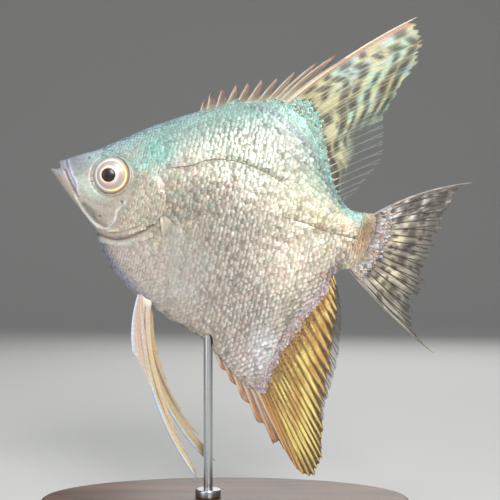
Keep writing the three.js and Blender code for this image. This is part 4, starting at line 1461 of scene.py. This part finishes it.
def dorsal_ray_colours(across, along, points, ray):
    thread = fibres(across, along, 22)
    aqua = ease(0.4, 0.9, streaks(across, along, 22, 2.1, 1)) * ease(0.18, 0.45, along)
    faded = 1 - 0.6 * ease(0.8, 0.95, along) * ease(0.4, 0.2, across)
    blue = ease(0.5, 1, streaks(across, along, 22, 1.4, 8)) * ease(0.3, 0.5, along)
    straw = ease(0.6, 0.95, streaks(across, along, 44, 3.3, 4))
    green = 0.6 * ease(0.5, 0.6, across) * ease(0.72, 0.64, across)
    shifted = along + 0.1 * across + 0.03 * np.sin(across * 23)
    dark = cells(across, shifted, 12, DORSAL_BANDS, 0.56, 0.038, 0.16)
    small = cells(across, shifted + 0.06, 23, DORSAL_BANDS, 0.46, 0.018, 0.72)
    dark = np.maximum(dark, 0.7 * small) * (1 - 0.1 * ray)
    dark = dark * ease(1.0, 0.92, along) * ease(0.0, 0.04, across) * (0.8 + 0.2 * thread)
    colours = layered(
        tiled("#BAB58C", points),
        ("#8A8463", 0.6 * ease(0.5, 0.1, blotches(points, 1.5, 3))),
        ("#A3D3BF", 0.85 * aqua * ease(0.95, 0.6, across) * faded),
        ("#93C3D8", 0.65 * blue * ease(0.6, 0.3, across) * ease(1, 0.85, along)),
        ("#DDD8A2", 0.55 * straw * ease(0.15, 0.3, along)),
        ("#9BDDB0", green * ease(0.4, 0.6, along)),
        ("#4F473F", 0.8 * ease(0.2, 0.05, along) * ease(0.1, 0.3, across)),
        ("#3A342F", 0.8 * ease(0.34, 0.15, along) * ease(0.55, 0.7, across)),
        ("#6A6552", 0.4 * ease(0.4, 1, thread)),
        ("#170F0C", dark),
        ("#D9CFC4", 0.5 * ease(0.95, 1, along)),
        ("#A97B64", ease(0.06, 0.015, across)),
    )
    lower = ease(0.6, 0.95, across)
    glassy = ease(0.36 - 0.22 * lower, 0.6 - 0.3 * lower, along + 0.12 * thread)
    glassy = ease(0.5, 0.62, across + 0.06 * thread) * glassy
    alpha = 0.97 - 0.95 * glassy
    alpha = alpha - 0.25 * ease(0.68, 0.85, across) * ease(0.15, 0.4, along)
    alpha = alpha * (1 - 0.45 * ease(0.9, 1, along))
    if ray:
        colours = layered(
            colours,
            ("#E4D6AE", (0.66 - 0.2 * ease(0.5, 0.8, along)) * (1 - 0.8 * dark)),
            ("#F2EBDD", 0.9 * ease(0.6, 0.8, across) * ease(0.3, 0.1, along)),
            ("#EFE0C8", 0.6 * ease(0.03, 0.005, across)),
            ("#B9BFBB", 0.8 * glassy),
        )
        alpha = np.maximum(alpha, 0.9 - 0.7 * glassy)
    return clear(colours, alpha)


def dorsal_spine_colours(across, along, points, ray):
    aside = across * 10 - np.floor(across * 10)
    if ray:
        colours = layered(
            tiled("#BDA27A", points),
            ("#D6D2C6", 0.6 * blotches(points, 0.7, 2)),
            ("#A87350", 0.85 * ease(0.7, 0.95, along)),
            ("#3E3430", 0.85 * ease(0.6, 0.85, along) * ease(0.3, 0.12, across)),
            ("#C6D5E2", 0.4 * blotches(points, 0.9, 5)),
        )
    else:
        colours = layered(
            tiled("#7E6558", points),
            ("#A19C7C", ease(0.6, 0.1, along)),
            ("#574740", 0.8 * ease(0.1, 0.5, aside) * ease(0.15, 0.5, along)),
            ("#A8755A", 0.6 * ease(0.7, 0.95, along) * ease(0.5, 0.2, aside)),
            ("#CDBE9C", 0.5 * ease(0.5, 1, fibres(across, along, 10))),
            ("#3E3430", 0.85 * (ease(0.3, 0.12, across) * ease(0.45, 0.8, along))),
        )
    return clear(colours, 0.97)


def anal_colours(across, along, points, ray):
    place = across * (ANAL_RAYS - 1)
    gap = np.abs(place - np.rint(place)) * 2
    thread = fibres(across, along, ANAL_RAYS - 1)
    speckle = hashed(np.floor(across * 170), np.floor(along * 70 + 5 * thread))
    tips = 0.92 + 0.12 * (hashed(np.rint(place), 6) - 0.5)
    tips = tips - 0.24 * ease(0.5, 0.95, across) + 0.1 * ease(0.45, 0.2, across)
    width = 0.4 + 0.26 * ease(0.12, 0.5, along) - 0.6 * ease(tips - 0.3, tips + 0.02, along)
    width = width + 0.35 * (thread - 0.5)
    gold = ease(width + 0.2, width - 0.15, gap) * ease(0.03, 0.3, along)
    bright = streaks(across, along, ANAL_RAYS, 1.3, 5)
    bright = bright * ease(0.15, 0.6, along + 0.4 * (1 - across)) * ease(0.08, 0.2, across)
    outer = ease(0.4, 0.8, along) * ease(0.1, 0.25, across) * ease(0.75, 0.4, across)
    bright = np.maximum(bright, outer)
    between = 0.55 + 0.45 * ease(0.7, 0.3, thread)
    rusty = ease(0.55, 0.2, along + 0.25 * (thread - 0.5)) * ease(0.1, 0.25, across)
    smoky = ease(tips - 0.02, tips + 0.06, along) * ease(0.16, 0.3, across)
    colours = layered(
        tiled("#A58552", points),
        ("#553F28", 0.9 * ease(0.3, 0.9, speckle)),
        ("#46341F", 0.9 * ease(0.12, 0.6, along) * ease(0.42, 0.8, gap)),
        ("#D6A658", 0.9 * gold),
        ("#FFEC8E", 0.97 * gold * ease(0.2, 0.75, bright) * between),
        ("#F0C692", 0.7 * gold * ease(0.6, 0.9, across) * ease(0.3, 0.8, bright)),
        ("#59401F", 0.85 * ease(0.6, 0.95, thread) * (1 - 0.4 * gold)),
        ("#6B4B2C", 0.75 * rusty * ease(0.35, 0.75, speckle)),
        ("#C48652", 0.8 * ease(0.16, 0.03, across) * (0.3 + 0.7 * gold)),
        ("#93808A", 0.85 * ease(0.14, 0.02, along)),
        ("#4A473F", 0.9 * smoky),
        ("#E9D8B0", 0.8 * ray * ease(0.04, 0.0, across)),
    )
    return clear(colours, 0.98 - 0.65 * smoky * (1 - 0.3 * ray))


def anal_spine_colours(across, along, points, ray):
    aside = across * 5 - np.floor(across * 5)
    thread = fibres(across, along, 8)
    colours = layered(
        tiled("#A08373", points),
        ("#B9794C", 0.8 * ease(0.35, 0.8, along)),
        ("#5E463A", 0.75 * ease(0.3, 0.95, aside)),
        ("#E2C29C", 0.7 * ease(0.5, 0.9, thread)),
        ("#6E4A33", 0.7 * ease(0.4, 0.1, thread) * ease(0.3, 0.6, along)),
        ("#948290", 0.7 * ease(0.3, 0.05, along)),
        ("#E0CDB0", ray * (0.6 + 0.3 * blotches(points, 0.8, 3))),
        ("#B97A4C", 0.7 * ray * ease(0.7, 0.95, along)),
    )
    return clear(colours, 0.97)


def tail_colours(across, along, points, ray):
    thread = fibres(across, along, TAIL_RAYS)
    mottle = blotches(points, 1.1, 6)
    middle = ease(0.12, 0.26, across) * ease(1.0, 0.85, across)
    lit = 0.75 * ease(0.25, 0.75, streaks(across, along, TAIL_RAYS, 1.6, 3))
    lit = 0.25 + lit * ease(0.2, 0.5, mottle)
    gold = bell(along - 0.33, 0.07 * np.sin(across * 11), 0.15) * middle
    second = bell(along - 0.66, 0.05 * np.sin(across * 13), 0.09) * ease(0.3, 0.5, across)
    upper = ease(0.34, 0.18, across)
    lower = ease(0.86, 0.97, across)
    silver = ease(0.4, 0.9, streaks(across, along, 36, 3.1, 2))
    grey = ease(0.3, 0.7, streaks(across, along, 30, 2.4, 7))
    dark = cells(across, along, 9, (0.49, 0.79), 0.5, 0.08, 0.12)
    dark = dark * (0.6 + 0.4 * ease(0.2, 0.6, mottle))
    for spots in (
        cells(across, along, 19, (0.12, 0.24, 0.36, 0.64), 0.42, 0.04, 0.45),
        cells(across, along, 13, (0.28, 0.43, 0.58, 0.72, 0.86), 0.56, 0.055, 0.25) * upper,
    ):
        dark = np.maximum(dark, spots)
    outer = ease(0.56, 0.82, along)
    colours = layered(
        tiled("#8F857A", points),
        ("#544A42", 0.8 * ease(0.45, 1, thread)),
        ("#EFE2C0", 0.95 * gold * lit),
        ("#CFCDB4", 0.85 * second * lit),
        ("#8F847C", 0.8 * upper),
        ("#EDE6DF", 0.9 * upper * silver),
        ("#C3C4BE", 0.7 * lower * grey),
        ("#2C2420", 0.95 * dark * (0.75 + 0.25 * thread)),
        ("#6F6C67", 0.6 * outer * (1 - upper) * (1 - 0.6 * dark)),
    )
    alpha = 0.97 - 0.42 * outer * ease(0.03, 0.15, across) * (1 - 0.8 * dark)
    if ray:
        inner = 0.85 * ease(0.12, 0.24, along) * ease(0.0, 0.06, across) * ease(1, 0.6, along)
        colours = layered(
            colours,
            ("#2B2420", inner),
            ("#A9B0C6", 0.85 * ease(0.14, 0.06, along)),
            ("#5A5049", 0.8 * ease(0.6, 0.9, along)),
            ("#A89A8E", 0.6 * (ease(0.04, 0.0, across) + ease(0.96, 1, across))),
        )
        alpha = np.maximum(alpha, 0.85)
    return clear(colours, alpha)


def pelvic_colours(across, along, points, ray):
    lines = fibres(across, 0.3 * along, 5)
    lower = ease(0.28, 0.48, along)
    front = ease(0.46, 0.4, across)
    middle = bell(across - 0.52, 0.1 * along, 0.07)
    colours = layered(
        tiled("#D3C1B1", points),
        ("#C08F68", 0.7 * ease(0.4, 0.7, lines) * ease(0.75, 0.3, along)),
        ("#8B7060", 0.75 * ease(0.62, 0.9, lines) * ease(0.8, 0.4, along)),
        ("#D2DEF5", 0.95 * ease(0.022, 0.008, across)),
        ("#E6DBA4", 0.8 * lower * front * ease(0.15, 0.22, across)),
        ("#A98A5C", 0.7 * lower * front * ease(0.32, 0.42, across)),
        ("#C3D6F4", 0.9 * lower * bell(across, 0.235, 0.035, 4)),
        ("#C3D6F4", 0.9 * ease(0.86, 0.93, along) * ease(0.24, 0.2, across)),
        ("#D6BD9B", 0.7 * (1 - front) * lower),
        ("#7A6659", 0.8 * middle * ease(0.03, 0.12, along) * ease(1, 0.5, along)),
        ("#DFC690", 0.7 * ease(0.8, 0.97, across) * ease(0.1, 0.3, along)),
        ("#FBF6EC", 0.85 * ease(0.06, -0.01, along) * ease(0.3, 0.5, across)),
    )
    return clear(colours, 0.985)


def pectoral_colours(across, along, points, ray):
    colours = tint(tiled("#E9EEEA", points), "#F3DFC0", 0.7 * ease(0.2, 0, along))
    alpha = 0.2 - 0.1 * along if ray else 0.05
    return clear(colours, alpha + 0.4 * ease(0.07, 0, along))


PELVIC_STRANDS = [
    # share across, end, radius at the root and at the tip
    (0.0, 0.97, 0.3, 0.2), (0.09, 0.94, 0.36, 0.28), (0.18, 0.94, 0.36, 0.26),
    (0.25, 1.0, 0.6, 0.36), (0.31, 1.0, 0.55, 0.34), (0.38, 1.0, 0.55, 0.34),
    (0.45, 1.0, 0.5, 0.3), (0.52, 0.99, 0.45, 0.2), (0.6, 0.99, 0.42, 0.18),
    (0.7, 0.98, 0.42, 0.16), (0.8, 0.98, 0.42, 0.16), (0.9, 0.98, 0.42, 0.16),
    (1.0, 0.99, 0.42, 0.16),
]
PELVIC_SPLAY = 5  # how far each pelvic fin turns outwards, in degrees
PELVIC_HINGE = np.array([0, 0, 29.5])
PECTORAL_SWING = 32  # how far each pectoral fin stands off the flank, in degrees
PECTORAL_DROOP = 20


def put_fin(slot, finish, node, *pieces):
    """Puts a fin's web and rays on the fish. The web stands for the fin's solid."""
    for piece in pieces:
        piece.data.transform(FISH)
        dress(piece, finish, slot, *([node] if piece is pieces[0] else []))


def dorsal_fin(finish):
    reach = ragged(DORSAL_RAYS, 0.05, 0.05)
    forks = branching(DORSAL_RAYS, reach, 0.21, 0.07, 0.62, 0.82)
    edge = [strand(0.0, -0.1, 0.99, 0.5, 0.2)]
    put_fin(
        "spotted_fin", finish, "dorsal_fin_rays",
        fin_web("dorsal_web", DORSAL_REAR, 156, 74, reach, dorsal_ray_colours),
        fin_rays("dorsal_soft_rays", DORSAL_REAR, forks, dorsal_ray_colours),
        fin_rays("dorsal_leading_edge", DORSAL_REAR, edge, dorsal_ray_colours, 30, 8),
    )
    count = len(DORSAL_SPINES)
    reach, colours = sawtooth(count, 0.62, 0.3), dorsal_spine_colours
    put_fin(
        "spotted_fin", finish, "dorsal_fin_spines",
        fin_web("dorsal_flags", DORSAL_FRONT, 160, 16, reach, colours, 0.22, -0.2),
        fin_rays("dorsal_spines", DORSAL_FRONT, stout(count, 0.34, 0.16), colours, 12, 8),
    )


def anal_fin(finish):
    reach = ragged(ANAL_RAYS, 0.03, 0.05)
    forks = branching(ANAL_RAYS, reach, 0.24, 0.08, 0.5, 0.72, 0.22)
    put_fin(
        "golden_fin", finish, "anal_fin_rays",
        fin_web("anal_web", ANAL_REAR, 144, 60, reach, anal_colours),
        fin_rays("anal_soft_rays", ANAL_REAR, forks, anal_colours),
    )
    count = len(ANAL_SPINES)
    reach, colours = sawtooth(count, 0.3, 0.12), anal_spine_colours
    put_fin(
        "golden_fin", finish, "anal_fin_spines",
        fin_web("anal_flags", ANAL_FRONT, 80, 16, reach, colours, 0.22, -0.2),
        fin_rays("anal_spines", ANAL_FRONT, stout(count, 0.5, 0.2), colours, 12, 8),
    )


def tail_fin(finish):
    reach = ragged(TAIL_RAYS, 0.12, 0.2)
    forks = branching(TAIL_RAYS, reach, 0.27, 0.1, 0.26, 0.58, 0.3)
    edges = [strand(share, -0.15, 0.985, 0.36, 0.12) for share in (0.0, 1.0)]
    put_fin(
        "smoky_fin", finish, "tail_fin",
        fin_web("tail_web", TAIL, 180, 50, reach, tail_colours, 0.13, -0.16),
        fin_rays("tail_rays", TAIL, forks, tail_colours),
        fin_rays("tail_edges", TAIL, edges, tail_colours, 24, 8),
    )


def pelvic_fin(side, finish):
    turn = np.array(Matrix.Rotation(math.radians(PELVIC_SPLAY * side), 3, "X"))

    def hung(points):
        return (points + PELVIC_HINGE) @ turn.T + (0, 1.5 * side, 0) - PELVIC_HINGE

    def reach(across):
        return 0.94 - 0.1 * np.abs(np.sin(across * 12 * math.pi)) ** 0.7

    word = WORDS[side]
    fin = Fin(PELVIC_LEFT if side == LEFT else PELVIC_RIGHT, smooth=False, place=hung)
    strands = [strand(share, -0.06, *rest) for share, *rest in PELVIC_STRANDS]
    put_fin(
        "cream_fin", finish, f"pelvic_fin_{word}",
        fin_web(f"pelvic_web_{word}", fin, 64, 40, reach, pelvic_colours, 0.3, -0.05),
        fin_rays(f"pelvic_rays_{word}", fin, strands, pelvic_colours, 30, 8),
    )


def pectoral_fin(side, finish):
    word = WORDS[side]
    low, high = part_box(f"gill_cover_{word}")
    cheek = FISH.inverted() @ Vector((0, (low if side == LEFT else high).y, 0))
    root = np.array([29.8, side * (abs(cheek.y) + 0.1), -9.9])
    swing = Matrix.Rotation(math.radians(PECTORAL_SWING * side), 3, "Z")
    swing = np.array(swing @ Matrix.Rotation(math.radians(PECTORAL_DROOP), 3, "Y"))
    fin = Fin(PECTORAL_GUIDES, place=lambda points: points @ swing.T + root)
    reach = ragged(PECTORAL_RAYS, 0.04, 0.02)
    forks = branching(PECTORAL_RAYS, reach, 0.2, 0.06)
    put_fin(
        "clear_fin", finish, f"pectoral_fin_{word}",
        fin_web(f"pectoral_web_{word}", fin, 72, 30, reach, pectoral_colours, 0.1, 0),
        fin_rays(f"pectoral_rays_{word}", fin, forks, pectoral_colours),
    )


# ------------------------------------------------------------------ assembly


def make_body():
    """The skin, the scales and details on it, and the eyes."""
    skin = grow_skin()
    outline = Outline(skin)
    paint_skin(skin, outline)
    tree, shape = tree_of(skin), scale_shape()
    pearl = pearl_finish("pearly_skin", 0.4, 0.45)
    scaled = pearl_finish("pearly_scales", 0.36, 0.5)
    for side in (LEFT, RIGHT):
        for piece in lay_scales(side, tree, outline, shape) + skin_details(side, tree):
            piece.data.transform(FISH)
            dress(piece, scaled, "scaled_skin")
    bpy.data.objects.remove(shape)
    skin.data.transform(FISH)
    dress(skin, pearl, "scaled_skin", *FLESH)
    glass = eye_finish()
    for side, word in WORDS.items():
        dress(glass_eye(side), glass, "eye", f"eye_{word}")


def make_fins():
    """Every fin as a web and its rays, dressed and in place."""
    dorsal_fin(fin_finish("spotted_fin", 0.46, 0.1))
    anal_fin(fin_finish("golden_fin", 0.4, 0.2))
    tail_fin(fin_finish("smoky_fin", 0.44, 0.1))
    cream = fin_finish("cream_fin", 0.3, 0.15)
    glassy = fin_finish("clear_fin", 0.2, 0)
    for side in (LEFT, RIGHT):
        pelvic_fin(side, cream)
        pectoral_fin(side, glassy)


def turned(name, node, slot, finish, sides, bevel, lift=0.0):
    """A turned piece with eased rims, in the place and size of a solid of the stand."""
    low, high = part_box(node)
    low.z -= lift
    size, middle = high - low, (low + high) / 2
    sizes = {"radius": size.x / 2, "depth": size.z, "location": middle}
    piece = started(name, bpy.ops.mesh.primitive_cylinder_add, vertices=sides, **sizes)
    bpy.ops.object.transform_apply(location=True)
    with editing(piece, "SELECT", "EDGE"):
        bpy.ops.transform.resize(value=(1, size.y / size.x, 1), center_override=middle)
    finish_modifier(piece, "BEVEL", width=bevel * MM, segments=4, limit_method="ANGLE")
    bpy.ops.object.shade_smooth_by_angle(angle=math.radians(40))
    finish_modifier(piece, "WEIGHTED_NORMAL", keep_sharp=True)
    dress(piece, finish, slot, node)


def make_stand():
    """A walnut base, a steel rod, and a collar that sinks a little into the base."""
    steel = steel_finish()
    turned("walnut_base", "stand_base", "stand_wood", walnut_finish(), 160, 1.2)
    turned("steel_rod", "stand_rod", "stand_steel", steel, 48, 0.15)
    turned("steel_collar", "stand_collar", "stand_steel", steel, 72, 0.4, 0.3 * MM)


set_camera()
light_studio()
sweep_backdrop()
make_body()
make_fins()
make_stand()
